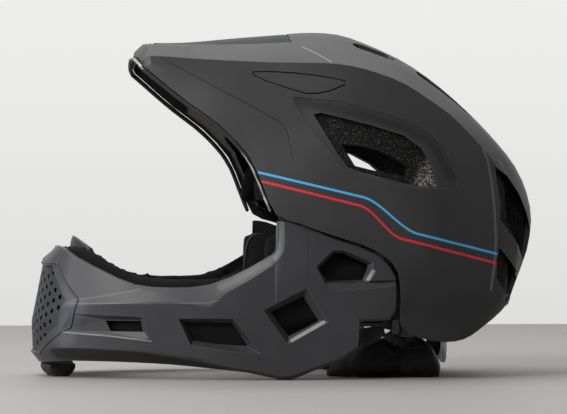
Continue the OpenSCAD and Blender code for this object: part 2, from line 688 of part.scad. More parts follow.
// A comfort pad on the head cavity between two angles over the head and two to the side
pad_gap = 1.1;
function head_point(over, side, inset) = [
    head_middle[0] - (head_half[0] - inset) * cos(over) * cos(side),
    (head_half[1] - inset) * sin(side),
    head_centre_z + (head_half[2] - inset) * sin(over) * cos(side)
];
module head_pad(over, side, thick = pad_thickness, rows = 5, cols = 6) {
    loft([
        for (i = [0 : rows])
            let (a = over[0] + (over[1] - over[0]) * i / rows, fa = 1 - 0.7 * pow(abs(2 * i / rows - 1), 4))
            [
                for (j = [0 : cols]) head_point(a, side[0] + (side[1] - side[0]) * j / cols, pad_gap),
                for (j = [cols : -1 : 0])
                    let (fb = 1 - 0.7 * pow(abs(2 * j / cols - 1), 4))
                    head_point(a, side[0] + (side[1] - side[0]) * j / cols, pad_gap + thick * fa * fb)
            ]
    ], ladder = true);
}
module brow_pad() color([0.05, 0.05, 0.05]) head_pad([33, 54], [-48, 48], cols = 10);
module crown_pad() color([0.05, 0.05, 0.05]) head_pad([74, 112], [-15, 15]);
module temple_pad_left() color([0.05, 0.05, 0.05]) mirror([0, 1, 0]) head_pad([1, 30], [43, 64]);
module temple_pad_right() color([0.05, 0.05, 0.05]) head_pad([1, 30], [43, 64]);
module rear_pad() color([0.05, 0.05, 0.05]) head_pad([146, 166], [-40, 40], cols = 8);

// A flat webbing through a list of points, whose face looks along the given direction
module ribbon(path, face, wide = strap_width, thick = strap_thick) {
    last = len(path) - 1;
    loft([
        for (i = [0 : last])
            let (
                along = unit(path[min(i + 1, last)] - path[max(i - 1, 0)]),
                side = unit(cross(along, len(face) == 0 ? strap_face(path[i]) : face)),
                out = cross(side, along)
            )
            [for (k = [[-1, -1], [1, -1], [1, 1], [-1, 1]])
                path[i] + side * wide / 2 * k[0] + out * thick / 2 * k[1]]
    ]);
}
// Flat on the cavity's wall at the top and upright lower down
function strap_face(p) =
    let (a = (p[0] - head_middle[0]) / head_half[0])
    unit([clamp((p[2] - 56) / 40, 0, 1) * a / head_half[0], sqrt(1 - a * a) / head_half[1], 0]);
strap_y = 64.2;
divider_middle = [53, 63.4, 40];
divider_size = [24, 4.4, 13];
wall_gap = 1;
function wall_normal(x, z) =
    let (a = (x - head_middle[0]) / head_half[0], c = (z - head_centre_z) / head_half[2])
    unit([a / head_half[0], sqrt(1 - a * a - c * c) / head_half[1], c / head_half[2]]);
function wall_point(x, z, inset) =
    let (a = (x - head_middle[0]) / head_half[0], c = (z - head_centre_z) / head_half[2])
    [x, head_half[1] * sqrt(1 - a * a - c * c), z] - wall_normal(x, z) * (wall_gap + inset);
front_anchor = [9, 112];
rear_anchor = [92, 110];
strap_front = concat([for (z = [8, -2]) wall_point(front_anchor[0], front_anchor[1] + z, strap_thick / 2)],
    [[16, 67.4, 96], [25, 65.6, 82], [36, strap_y, 64], [46, 63.4, 46]]);
strap_rear = concat([for (z = [8, -2]) wall_point(rear_anchor[0], rear_anchor[1] + z, strap_thick / 2)],
    [[86, 62.6, 94], [79, 63.6, 80], [69.5, strap_y, 64], [60, 63.4, 46]]);
strap_low = [[53, 63.4, 33.2], [54, 61.5, 28], [56, 58, 24.6]];
function steps_of(path, count) = [for (i = [0 : count]) curve_at(path, (len(path) - 1) * i / count)];
module strap_front_left() color([0.06, 0.06, 0.06]) mirror([0, 1, 0]) ribbon(steps_of(strap_front, 7), []);
module strap_front_right() color([0.06, 0.06, 0.06]) ribbon(steps_of(strap_front, 7), []);
module strap_rear_left() color([0.06, 0.06, 0.06]) mirror([0, 1, 0]) ribbon(steps_of(strap_rear, 7), []);
module strap_rear_right() color([0.06, 0.06, 0.06]) ribbon(steps_of(strap_rear, 7), []);
module strap_low_left() color([0.06, 0.06, 0.06]) mirror([0, 1, 0]) ribbon(steps_of(strap_low, 4), [0, 1, 0]);
module strap_low_right() color([0.06, 0.06, 0.06]) ribbon(steps_of(strap_low, 4), [0, 1, 0]);

// The plastic divider where the front and rear webbings meet
module strap_divider() {
    translate([divider_middle[0], divider_middle[1], divider_middle[2]]) difference() {
        translate([0, divider_size[1] / 2, 0]) rotate([90, 0, 0]) linear_extrude(divider_size[1])
            polygon([[-14, 6.5], [14, 6.5], [9, -6.5], [-9, -6.5]]);
        for (k = [-1, 1]) translate([k * 7, -10, 2.2]) cube([9, 40, 2.4], center = true);
        translate([0, -10, -3]) cube([13, 40, 2.4], center = true);
    }
}
module divider_left() color([0.1, 0.1, 0.1]) mirror([0, 1, 0]) strap_divider();
module divider_right() color([0.1, 0.1, 0.1]) strap_divider();

// The washers that hold the webbings against the liner
anchor_radius = 7;
module strap_anchor() {
    for (a = [front_anchor, rear_anchor]) {
        n = wall_normal(a[0], a[1]);
        translate(wall_point(a[0], a[1], strap_thick + 2.1)) rotate([0, 0, atan2(n[1], n[0])])
            rotate([0, acos(n[2]), 0]) {
                cylinder(h = 1.6, r = anchor_radius);
                translate([0, 0, -1.2]) cylinder(h = 1.4, r1 = 2.6, r2 = 3.6);
            }
    }
}
module anchors_left() color([0.2, 0.2, 0.2]) mirror([0, 1, 0]) strap_anchor();
module anchors_right() color([0.2, 0.2, 0.2]) strap_anchor();

// The padded sleeve folded under the head: a wedge and two puffed lumps, flat where it lies
sleeve_y = 49;
sleeve_rows = [
    [25, 9, 5], [33, 18, 11], [41, 22, 16], [47, 25, 22], [54, 27, 24], [61, 27, 24], [67, 25, 22],
    [70.5, 22, 18], [74, 26, 22], [80, 28, 25], [87, 28, 25], [93, 25, 21], [97.5, 18, 13], [99, 10, 7]
];
module sleeve() {
    loft([
        for (row = sleeve_rows)
            let (wide = row[1], tall = row[2] * sleeve_height / 24)
            [for (k = [0 : 11]) let (a = -30 * k, c = cos(a), s = sin(a)) [
                row[0],
                sleeve_y + wide / 2 * sign(c) * pow(abs(c), 0.8),
                max(0, tall / 2 * (0.92 + 1.08 * sign(s) * pow(abs(s), 0.8)))
            ]]
    ]);
}
module sleeve_left() color([0.05, 0.05, 0.05]) mirror([0, 1, 0]) sleeve();
module sleeve_right() color([0.05, 0.05, 0.05]) sleeve();

// The side-release buckle: socket on the left sleeve's tail, plug on the right's
buckle_x = 80;
buckle_half = 12;
buckle_high = 9.6;
buckle_wall = 1.8;
prong_long = 15;
module buckle_socket() color([0.08, 0.08, 0.08]) difference() {
    translate([buckle_x, -buckle_half, 0]) cube([24, 2 * buckle_half, buckle_high]);
    translate([buckle_x - 1, -buckle_half + buckle_wall, buckle_wall])
        cube([19, 2 * (buckle_half - buckle_wall), buckle_high - 2 * buckle_wall]);
    for (side = [-1, 1]) translate([buckle_x + 10, side * buckle_half, buckle_high / 2])
        cube([8, 6, 4.6], center = true);
    translate([buckle_x + 21, 0, buckle_high / 2]) cube([2.6, strap_width + 1, 30], center = true);
}
module buckle_plug() color([0.08, 0.08, 0.08]) {
    difference() {
        translate([buckle_x - 15, -buckle_half, 0.6]) cube([14.6, 2 * buckle_half, buckle_high - 1.2]);
        for (k = [3, 8]) translate([buckle_x - 15 + k + 1, 0, buckle_high / 2])
            cube([2.6, strap_width + 1, 30], center = true);
    }
    for (side = [-1, 1]) translate([buckle_x - 1, side * 7.6 - 1.4, 2.6]) cube([prong_long, 2.8, 4.4]);
    translate([buckle_x - 1, -1.6, 3]) cube([prong_long - 2, 3.2, 3.6]);
}
module strap_tail_left() color([0.06, 0.06, 0.06])
    ribbon([[89, -36.4, 4], [89, -28, 3.4], [89, -20, 3], [89, -12.3, 3]], [0, 0, 1]);
tail_right = [[64.9, 0, 4.8], [58, 0.3, 3.6], [50, 3.5, 2], [43.5, 11, 1.2], [41, 20, 0.9], [41, 34.5, 0.9]];
module strap_tail_right() color([0.06, 0.06, 0.06]) ribbon(tail_right, [0, 0, 1]);

// The latch: a tongue on the chin guard, its receiver behind the seam and a push button
tongue_y = 85;
tongue_low = 50;
tongue_base = 52;
tongue_tip = 82;
tongue_eye = tongue_tip - 8;
eye_radius = 2.3;
tongue_inner = fit_y(tongue_y) - tongue_thick / 2;
latch_front = 69.5;
latch_rear = 87;
latch_split = 44.5;
latch_inner = tongue_inner - 7.6;
button_outer = fit_y(84.1);
button_thick = 3;
button_low = 31;
button_high = 37.5;
catch_gap = 0.5;
screw_shank = 1.2;
module latch_tongue() {
    base_out = fit_y(94) - guard_wall - 0.5;
    difference() {
        union() {
            translate([tongue_base, tongue_inner, tongue_low])
                cube([tongue_tip - 3 - tongue_base, tongue_thick, tongue_height]);
            translate([tongue_tip - 3, tongue_inner + tongue_thick, tongue_low]) rotate([90, 0, 0])
                linear_extrude(tongue_thick)
                    polygon([[0, 0], [3, 2], [3, tongue_height - 2], [0, tongue_height]]);
            translate([tongue_base, tongue_inner, tongue_low])
                cube([11, base_out - tongue_inner, tongue_height]);
        }
        translate([tongue_eye, 60, tongue_low + tongue_height / 2]) rotate([-90, 0, 0])
            cylinder(h = 60, r = eye_radius);
        for (z = [3, tongue_height - 3])
            translate([tongue_base + 5.5, 60, tongue_low + z]) rotate([-90, 0, 0])
                cylinder(h = 60, r = screw_shank + 0.1);
    }
}
module guard_screw_pair() {
    for (z = [3, tongue_height - 3])
        translate([tongue_base + 5.5, tongue_inner - 1.4, tongue_low + z]) rotate([-90, 0, 0]) {
            cylinder(h = 1.4, r = 2.3);
            cylinder(h = 6, r = screw_shank);
        }
}
module latch_receiver() {
    reach = button_thick + button_travel + 2 * latch_clear;
    long = latch_rear - latch_front;
    top = tongue_low + tongue_height;
    difference() {
        union() {
            translate([latch_front, latch_inner, latch_split])
                cube([long, fit_y(88) - latch_inner, top + 3.5 - latch_split]);
            translate([latch_front, latch_inner, button_low - 3.5])
                cube([long, fit_y(85.9) - latch_inner, latch_split + 3.5 - button_low]);
        }
        translate([latch_front - 1, tongue_inner - latch_clear, tongue_low - latch_clear])
            cube([
                tongue_tip + 2 - latch_front, tongue_thick + 2 * latch_clear, tongue_height + 2 * latch_clear
            ]);
        translate([latch_front - 1, button_outer + latch_clear - reach, button_low - latch_clear])
            cube([13, reach, top - 2 - button_low]);
    }
}
// A push button whose catch stands in the eye of the tongue until it is pressed inwards
module release_button() {
    inner = button_outer - button_thick;
    catch_face = tongue_inner - catch_gap;
    translate([latch_front - 3, inner, button_low])
        cube([11, button_thick, button_high - button_low]);
    translate([latch_front - 7, inner, button_low - 1.5])
        cube([4.2, fit_y(92.4) - inner, button_high - button_low + 2.5]);
    translate([tongue_eye - 2.6, inner, button_low])
        cube([5.2, catch_face - inner, tongue_low + tongue_height - 3.5 - button_low]);
    translate([tongue_eye, catch_face - 0.5, tongue_low + tongue_height / 2]) rotate([-90, 0, 0])
        cylinder(h = catch_gap + 0.5 + button_travel - catch_gap - 0.3, r = eye_radius - 0.4);
}
module latch_tongue_left() color([0.5, 0.5, 0.52]) mirror([0, 1, 0]) latch_tongue();
module latch_tongue_right() color([0.5, 0.5, 0.52]) latch_tongue();
module guard_screws_left() color([0.7, 0.7, 0.72]) mirror([0, 1, 0]) guard_screw_pair();
module guard_screws_right() color([0.7, 0.7, 0.72]) guard_screw_pair();
module latch_receiver_left() color([0.12, 0.12, 0.12]) mirror([0, 1, 0]) latch_receiver();
module latch_receiver_right() color([0.12, 0.12, 0.12]) latch_receiver();
module release_button_left() color([0.75, 0.74, 0.72]) mirror([0, 1, 0]) release_button();
module release_button_right() color([0.75, 0.74, 0.72]) release_button();

// The fit dial at the nape: housing, knob with its pinion, and the two racks it draws in
dial_x = 119.8;
dial_z = 45;
housing_front = dial_x - 12.8;
housing_half = 26;
housing_low = dial_z - 12;
housing_high = dial_z + 13;
housing_corner = 4;
rack_front = dial_x - 9.3;
rack_deep = 4.6;
rack_bar = 4.2;
rack_clear = 0.3;
pitch_radius = gear_module * pinion_teeth / 2;
tooth_step = PI * gear_module;
bar_low = 1.15 * gear_module;
module housing_outline() {
    flat = housing_half - housing_corner;
    tall = housing_high - housing_low;
    translate([-flat, housing_low]) square([2 * flat, tall]);
    translate([-housing_half, housing_low + housing_corner])
        square([2 * housing_half, tall - 2 * housing_corner]);
    for (y = [-flat, flat], z = [housing_low + housing_corner, housing_high - housing_corner])
        translate([y, z]) circle(housing_corner);
}
module fit_housing() color([0.1, 0.1, 0.1]) difference() {
    translate([housing_front, 0, 0]) rotate([90, 0, 90]) linear_extrude(dial_x - 0.4 - housing_front)
        housing_outline();
    translate([housing_front + 1, 0, dial_z]) rotate([0, 90, 0]) cylinder(h = 40, r = shaft_radius + 0.06);
    translate([rack_front - rack_clear, 0, dial_z]) rotate([0, 90, 0])
        cylinder(h = rack_deep + 2 * rack_clear, r = pitch_radius + gear_module + 0.5);
    for (k = [0, 1]) translate([rack_front - rack_clear, -40, dial_z]) mirror([0, 0, k])
        translate([0, 0, pitch_radius - gear_module - 0.3])
            cube([rack_deep + 2 * rack_clear, 80, rack_bar + 2.15 * gear_module + rack_clear + 0.3]);
}
module fit_dial() color([0.12, 0.12, 0.12]) {
    translate([dial_x, 0, dial_z]) rotate([0, 90, 0]) difference() {
        union() {
            cylinder(h = dial_depth, r = dial_radius - 0.9);
            for (k = [0 : 17]) rotate([0, 0, 20 * k]) translate([dial_radius - 1.3, 0, 0])
                cylinder(h = dial_depth, r = 1.3);
        }
        translate([0, 0, dial_depth - 1.4]) cylinder(h = 4, r = dial_radius - 4);
    }
    translate([housing_front + 1.4, 0, dial_z]) rotate([0, 90, 0])
        cylinder(h = dial_x + 1 - housing_front - 1.4, r = shaft_radius);
    translate([rack_front, 0, dial_z]) rotate([90, 0, 90]) linear_extrude(rack_deep) pinion_outline();
}
// A straight-sided tooth, narrow enough to run in the rack with play
module pinion_outline() {
    root = pitch_radius - 1.15 * gear_module;
    tip = pitch_radius + 0.8 * gear_module;
    circle(root + 0.02);
    for (k = [0 : pinion_teeth - 1]) rotate(90 + 360 / pinion_teeth * k)
        polygon([
            [root * 0.8, -0.95 * gear_module], [pitch_radius, -0.66 * gear_module], [tip, -0.3 * gear_module],
            [tip, 0.3 * gear_module], [pitch_radius, 0.66 * gear_module], [root * 0.8, 0.95 * gear_module]
        ]);
}
module rack_outline(from, to) {
    translate([from, bar_low]) square([to - from, rack_bar]);
    for (k = [-3 : 3]) translate([tooth_step * (k + 0.5), 0])
        polygon([[-0.95 * gear_module, 1.2 * gear_module], [-0.36 * gear_module, -0.8 * gear_module],
            [0.36 * gear_module, -0.8 * gear_module], [0.95 * gear_module, 1.2 * gear_module]]);
}
rack_end = -33;
module rack_bar_solid() {
    translate([rack_front, 0, dial_z + pitch_radius]) rotate([90, 0, 90]) linear_extrude(rack_deep)
        rack_outline(rack_end, 13);
}
module rack_left() color([0.15, 0.15, 0.15]) rack_bar_solid();
module rack_right() color([0.15, 0.15, 0.15])
    translate([0, 0, 2 * dial_z]) rotate([180, 0, 0]) rack_bar_solid();
// The fit bands run from the racks round the head to the temples
band_wide = 13;
band_rise = pitch_radius + bar_low + rack_bar / 2;
band_thick = 1.6;
function band_path(z0) = [
    [rack_front + rack_deep / 2, 33.1, z0], [rack_front - 1, 38.5, z0 + 1], [rack_front - 9, 46, z0 + 3.5],
    [88, 54.4, 56], [72, 60, 64], [50, 62, 74], [26, 60.4, 83], [4, 55, 91]
];
module fit_band(z0) {
    path = steps_of(band_path(z0), 12);
    last = len(path) - 1;
    loft([
        for (i = [0 : last])
            let (
                along = unit(path[min(i + 1, last)] - path[max(i - 1, 0)]),
                side = unit(cross(along, [0, 0, 1])),
                tall = 4.2 + (band_wide - 4.2) * min(1, i / 3)
            )
            [for (k = [[-1, -1], [1, -1], [1, 1], [-1, 1]])
                path[i] + side * band_thick / 2 * k[0] + [0, 0, tall / 2 * k[1]]]
    ]);
}
module fit_band_left() color([0.13, 0.13, 0.13]) mirror([0, 1, 0]) fit_band(dial_z + band_rise);
module fit_band_right() color([0.13, 0.13, 0.13]) fit_band(dial_z - band_rise);
// The nape cradle on the housing's front and the arm that hangs it from the liner
cradle_thick = 2.4;
module nape_cradle() color([0.6, 0.62, 0.64], 0.6)
    translate([housing_front - cradle_thick, 0, 0]) rotate([90, 0, 90])
    linear_extrude(cradle_thick) difference() {
        union() {
            for (k = [-1, 1]) translate([k * 15, 19]) circle(11);
            translate([-15, 13]) square([30, dial_z - 8]);
            for (k = [-1, 1]) translate([k * 10, dial_z + 1]) circle(7);
        }
        for (k = [-1, 1]) translate([k * 15, 19]) circle(6);
    }
nape_rows = [
    [-22, 4, 0.5], [-18, 9, 0.9], [-9, 10.5, 1], [0, 10.5, 0.9], [9, 10.5, 1], [18, 9, 0.9], [22, 4, 0.5]
];
module nape_pad() color([0.05, 0.05, 0.05])
    loft([for (row = nape_rows)
        [for (k = [7 : -1 : 0]) let (a = 45 * k + 22.5) [
            housing_front - cradle_thick - 0.3 - max(0, 3 * row[2] * (1 + 1.08 * cos(a))) ,
            row[0],
            20 + row[1] * sin(a)
        ]]]);
module cradle_arm() color([0.13, 0.13, 0.13]) hull() {
    translate([housing_front + 7, -9, housing_high + 0.1]) cube([2.4, 18, 2]);
    translate([head_middle[0] + head_half[0] - 3.6, -7, 86]) cube([2.2, 14, 2]);
}

outer_shell();
eps_liner();
port_trim();
visor_top_panel();
inlay_left();
inlay_right();
brow_pad();
crown_pad();
temple_pad_left();
temple_pad_right();
rear_pad();
strap_front_left();
strap_front_right();
strap_rear_left();
strap_rear_right();
strap_low_left();
strap_low_right();
divider_left();
divider_right();
anchors_left();
anchors_right();
sleeve_left();
sleeve_right();
strap_tail_left();
buckle_socket();
buckle_plug();
strap_tail_right();
latch_receiver_left();
latch_receiver_right();
release_button_left();
release_button_right();
fit_housing();
fit_dial();
rack_left();
rack_right();
fit_band_left();
fit_band_right();
nape_cradle();
nape_pad();
cradle_arm();
chin_guard();
mouth_grille();
chin_foot();
chin_foam();
breath_shield();
cheek_pad_left();
cheek_pad_right();
latch_tongue_left();
latch_tongue_right();
guard_screws_left();
guard_screws_right();
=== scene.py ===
"""Looks of a full face sport helmet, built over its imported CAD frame.

Every piece lies in the frame's own axes, in metres: +X from the chin to the
nape, +Y to the far side, +Z up from the table that the helmet stands on.
"""

import json
import logging
import math
from dataclasses import dataclass, field
from enum import Enum
from typing import Callable, Iterable, Iterator, Sequence

import bmesh
import bpy
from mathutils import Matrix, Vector, noise

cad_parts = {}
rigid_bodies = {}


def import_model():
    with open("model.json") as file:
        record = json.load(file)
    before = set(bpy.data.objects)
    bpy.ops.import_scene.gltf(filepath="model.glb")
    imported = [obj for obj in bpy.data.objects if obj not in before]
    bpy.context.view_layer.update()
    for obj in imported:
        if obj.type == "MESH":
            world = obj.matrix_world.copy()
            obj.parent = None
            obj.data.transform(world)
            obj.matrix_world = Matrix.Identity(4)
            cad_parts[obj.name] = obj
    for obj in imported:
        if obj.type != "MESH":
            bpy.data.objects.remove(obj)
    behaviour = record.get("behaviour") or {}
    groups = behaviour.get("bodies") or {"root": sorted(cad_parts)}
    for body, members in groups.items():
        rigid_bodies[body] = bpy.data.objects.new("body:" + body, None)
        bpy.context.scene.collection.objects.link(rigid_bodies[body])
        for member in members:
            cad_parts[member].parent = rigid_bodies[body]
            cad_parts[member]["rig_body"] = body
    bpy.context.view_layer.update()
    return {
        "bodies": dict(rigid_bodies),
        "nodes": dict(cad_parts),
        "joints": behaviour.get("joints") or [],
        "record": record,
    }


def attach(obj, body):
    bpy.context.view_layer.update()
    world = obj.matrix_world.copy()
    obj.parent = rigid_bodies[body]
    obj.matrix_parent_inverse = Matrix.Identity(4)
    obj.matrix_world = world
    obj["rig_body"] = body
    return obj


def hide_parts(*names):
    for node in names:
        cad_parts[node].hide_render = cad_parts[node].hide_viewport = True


LOG = logging.getLogger("helmet")
Point = tuple[float, float, float]
Path = tuple[tuple[float, float], ...]
Values = Sequence | dict
Socket = bpy.types.NodeSocket
Colour = Sequence[float] | Socket
Object = bpy.types.Object
Mesh = bpy.types.Mesh
Material = bpy.types.Material
Facing = Callable[[Vector], Vector]
SIDES = ("left", "right")
MM = 0.001
PER_M = 1000.0
TURN = 2.0 * math.pi
BEVEL_SAMPLES = 6
# Sockets of the Mix node when it mixes colours.
MIX_SHARE, MIX_LOW, MIX_HIGH, MIX_RESULT = 0, 6, 7, 2


def add_node(
    tree: bpy.types.NodeTree, kind: str, settings: dict, values: Values = ()
) -> bpy.types.Node:
    """Add a node to a tree.

    Args:
        tree: The tree.
        kind: Blender's name of the node's type.
        settings: Properties of the node, set first.
        values: Sockets, signals or values, in order or by socket name.

    Returns:
        The new node.
    """
    made = tree.nodes.new(kind)
    for key, value in settings.items():
        setattr(made, key, value)
    for key, value in values.items() if isinstance(values, dict) else enumerate(values):
        value = value.socket if isinstance(value, Signal) else value
        if isinstance(value, Socket):
            tree.links.new(value, made.inputs[key])
        else:
            made.inputs[key].default_value = value
    return made


def scaled(colour: Sequence[float], factor: float) -> tuple[float, ...]:
    """A colour made lighter or darker."""
    return tuple(c * factor for c in colour)


# Shader maths
def _maths(operation: str) -> Callable[..., "Signal"]:
    """A method that puts a signal and its operands through one Math node."""

    def method(self: "Signal", *others: "Signal | float") -> "Signal":
        return self.sheet.signal("ShaderNodeMath", {"operation": operation}, [self, *others])

    return method


@dataclass
class Signal:
    """A number that runs through a material's nodes, with Python's operators."""

    sheet: "NodeSheet"
    socket: Socket | float

    __add__ = __radd__ = _maths("ADD")
    __sub__ = _maths("SUBTRACT")
    __mul__ = __rmul__ = _maths("MULTIPLY")
    __truediv__ = _maths("DIVIDE")
    __abs__ = _maths("ABSOLUTE")
    sine = _maths("SINE")
    root = _maths("SQRT")
    least = _maths("MINIMUM")
    most = _maths("MAXIMUM")

    def __rsub__(self, other: float) -> "Signal":
        """Difference with this signal on the right."""
        return Signal(self.sheet, other) - self

    def step(self, low: float, high: float) -> "Signal":
        """Smooth step from 0 at low to 1 at high, which falls where high is below low."""
        settings = {"interpolation_type": "SMOOTHSTEP"}
        ends = (low, high, 0.0, 1.0) if high > low else (high, low, 1.0, 0.0)
        return self.sheet.signal("ShaderNodeMapRange", settings, [self, *ends])


class NodeSheet:
    """A material under construction, with one method that adds any node."""

    def __init__(self, name: str) -> None:
        """Start an empty material of the given name."""
        self.material = bpy.data.materials.new(name)
        self.material.use_nodes = True
        self.tree = self.material.node_tree
        self.tree.nodes.clear()
        self._coords: bpy.types.Node | None = None

    def node(self, kind: str, settings: dict, values: Values = ()) -> bpy.types.Node:
        """Add a node, in the way of add_node."""
        return add_node(self.tree, kind, settings, values)

    def signal(
        self, kind: str, settings: dict, values: Values = (), output: int | str = 0
    ) -> Signal:
        """Add a node and take one of its outputs as a signal."""
        return Signal(self, self.node(kind, settings, values).outputs[output])

    def place(self) -> Socket:
        """The point's own place, in metres."""
        if self._coords is None:
            self._coords = self.node("ShaderNodeTexCoord", {})
        return self._coords.outputs["Object"]

    def axes(self) -> tuple[Signal, Signal, Signal]:
        """The point's x, y and z in millimetres."""
        parts = self.node("ShaderNodeSeparateXYZ", {}, [self.place()])
        return tuple(Signal(self, part) * PER_M for part in parts.outputs)

    def cloth_map(self) -> tuple[Signal, Signal]:
        """The point's place along and across a woven piece, in millimetres."""
        weave = self.node("ShaderNodeUVMap", {"uv_map": "weave"}).outputs[0]
        parts = self.node("ShaderNodeSeparateXYZ", {}, [weave])
        return tuple(Signal(self, part) * PER_M for part in parts.outputs[:2])

    def noise(self, size_mm: float, detail: float = 2.0, rough: float = 0.5) -> Signal:
        """Noise with grains of about the given size."""
        values = {"Vector": self.place(), "Scale": PER_M / size_mm}
        values |= {"Detail": detail, "Roughness": rough}
        return self.signal("ShaderNodeTexNoise", {}, values)

    def cells(self, size_mm: float) -> Signal:
        """Distance to the nearest of scattered points, in cells."""
        values = {"Vector": self.place(), "Scale": PER_M / size_mm}
        return self.signal("ShaderNodeTexVoronoi", {}, values)

    def bevel(self, radius_mm: float) -> Socket:
        """The way that the surface would look with rounded edges."""
        settings, values = {"samples": BEVEL_SAMPLES}, {"Radius": radius_mm * MM}
        return self.node("ShaderNodeBevel", settings, values).outputs[0]

    def edges(self, radius_mm: float) -> Signal:
        """How far the surface turns near a point, from 0 on even ground."""
        plain = self.node("ShaderNodeNewGeometry", {}).outputs["Normal"]
        pair, settings = [self.bevel(radius_mm), plain], {"operation": "DOT_PRODUCT"}
        return 1.0 - self.signal("ShaderNodeVectorMath", settings, pair, "Value")

    def mix(self, share: Signal, low: Colour, high: Colour) -> Socket:
        """Mix two colours, where a share of 0 gives the first one and 1 the second."""
        ends = [c if isinstance(c, Socket) else (*c, 1.0) for c in (low, high)]
        values = {MIX_SHARE: share, MIX_LOW: ends[0], MIX_HIGH: ends[1]}
        return self.node("ShaderNodeMix", {"data_type": "RGBA"}, values).outputs[MIX_RESULT]

    def drift(self, share: Signal, colour: Point, factor: float) -> Socket:
        """Let a colour drift to a lighter or darker one by a share."""
        return self.mix(share, colour, scaled(colour, factor))

    def finish(
        self, colour: Socket, rough: Signal | float, height: Signal | None = None,
        lift_mm: float = 0.1, edge_mm: float = 0.0, **plain: float,
    ) -> Material:
        """Close the material with its surface shader.

        Args:
            colour: Base colour.
            rough: Roughness.
            height: Relief from 0 to 1.
            lift_mm: Height of the relief in millimetres.
            edge_mm: Radius that moulded edges seem to have, in millimetres.
            plain: Other shader inputs, the same all over.

        Returns:
            The material.
        """
        inputs = {key.replace("_", " "): value for key, value in plain.items()}
        inputs |= {"Base Color": colour, "Roughness": rough}
        if height is not None:
            relief = {"Strength": 1.0, "Distance": lift_mm * MM, "Height": height}
            if edge_mm:
                relief["Normal"] = self.bevel(edge_mm)
            inputs["Normal"] = self.node("ShaderNodeBump", {}, relief).outputs[0]
        shader = self.node("ShaderNodeBsdfPrincipled", {}, inputs)
        self.node("ShaderNodeOutputMaterial", {}, [shader.outputs[0]])
        return self.material


# Finishes
@dataclass(frozen=True)
class Stripe:
    """A painted line along the side that steps down in an S."""

    colour: Point
    start_x: float
    start_z: float
    slope: float
    drop: float
    drop_from: float
    drop_to: float
    end_x: float = 134.0
    half_width: float = 0.75
    edge: float = 0.22

    def mask(self, x: Signal, z: Signal) -> Signal:
        """1 on the painted line and 0 off it, from a place in millimetres."""
        fall = x.step(self.drop_from, self.drop_to)
        line = self.start_z - (x - self.start_x) * self.slope - fall * self.drop
        steepest = 6.0 * self.drop / (self.drop_to - self.drop_from)
        steep = fall * (1.0 - fall) * steepest * 0.55 + self.slope
        away = abs(z - line) / (steep * steep + 1.0).root()
        start = x.step(self.start_x - 0.5, self.start_x + 0.5)
        ends = start * x.step(self.end_x + 0.4, self.end_x - 0.4)
        return away.step(self.half_width + self.edge, self.half_width - self.edge) * ends


@dataclass(frozen=True)
class Groove:
    """A moulded line, painted highlight or painted shade that follows a path along the side."""

    path: Path
    half_width: float = 0.30
    blur: float = 0.25
    tone: Point = (0.004, 0.004, 0.004)
    strength: float = 0.85
    deep: float = 0.0
    beyond: float = 40.0

    def mask(self, x: Signal, z: Signal) -> Signal:
        """1 on the line and 0 off it, from a place in millimetres."""
        nearest: Signal | None = None
        for (ax, az), (bx, bz) in zip(self.path, self.path[1:]):
            run, rise = bx - ax, bz - az
            square = run * run + rise * rise
            share = ((x - ax) * (run / square) + (z - az) * (rise / square)).most(0.0).least(1.0)
            off_x, off_z = x - ax - share * run, z - az - share * rise
            away = (off_x * off_x + off_z * off_z).root()
            nearest = away if nearest is None else nearest.least(away)
        return nearest.step(self.half_width + self.blur, self.half_width - self.blur * 0.4)


# Tones, moulded lines, painted highlights and painted shade; each line's places are x and z in
# millimetres.
# Painted highlight for moulded edges and creases; as the shell's edge tone it also stands for
# wear.
WEAR_AND_HIGHLIGHT: Point = (0.17, 0.165, 0.16)
# Painted highlight for glints on bevels and creases.
PAINTED_HIGHLIGHT: Point = (0.34, 0.34, 0.34)
LOW_SHADE = Groove(
    ((40.0, 62.0), (85.0, 44.0), (118.0, 50.0)), 8.0, 42.0, (0.006, 0.006, 0.006), 0.7)
VISOR_GROOVE = Groove(
    ((-84.0, 208.0), (-47.5, 187.5), (-28.1, 177.2), (-8.6, 165.6), (-4.3, 160.1), (-1.0, 141.7)),
    deep=4.0)
# Painted highlight along the bevelled rear edge of the side panel.
PANEL_EDGE_HIGHLIGHT = Groove(
    ((126.5, 149.0), (129.6, 141.7), (131.6, 128.8), (132.9, 109.4), (133.2, 89.9),
     (131.6, 73.7), (129.0, 57.6)), 0.8, tone=WEAR_AND_HIGHLIGHT, strength=0.6, beyond=30.0)
# Painted highlight along the crease where the visor's top meets the dome.
TOP_CREASE_HIGHLIGHT = Groove(
    ((8.7, 216.1), (17.3, 211.5), (25.9, 205.7)), 0.25, tone=PAINTED_HIGHLIGHT, strength=0.7, beyond=10.0)
RECESS_SHADE = Groove(
    ((3.1, 179.2), (23.9, 175.4), (47.4, 170.3), (70.9, 162.5), (86.6, 154.8), (94.4, 145.7),
     (101.0, 130.1)), 1.8, 3.2, strength=0.75)
# Painted highlight along a crease of the rear facets.
REAR_FACET_HIGHLIGHT = Groove(
    ((138.5, 142.3), (150.5, 122.5), (160.5, 98.8)), 0.5, 0.6, WEAR_AND_HIGHLIGHT, 0.5, beyond=15.0)
SHELL_LINES = (LOW_SHADE, VISOR_GROOVE, PANEL_EDGE_HIGHLIGHT, TOP_CREASE_HIGHLIGHT, RECESS_SHADE, REAR_FACET_HIGHLIGHT)
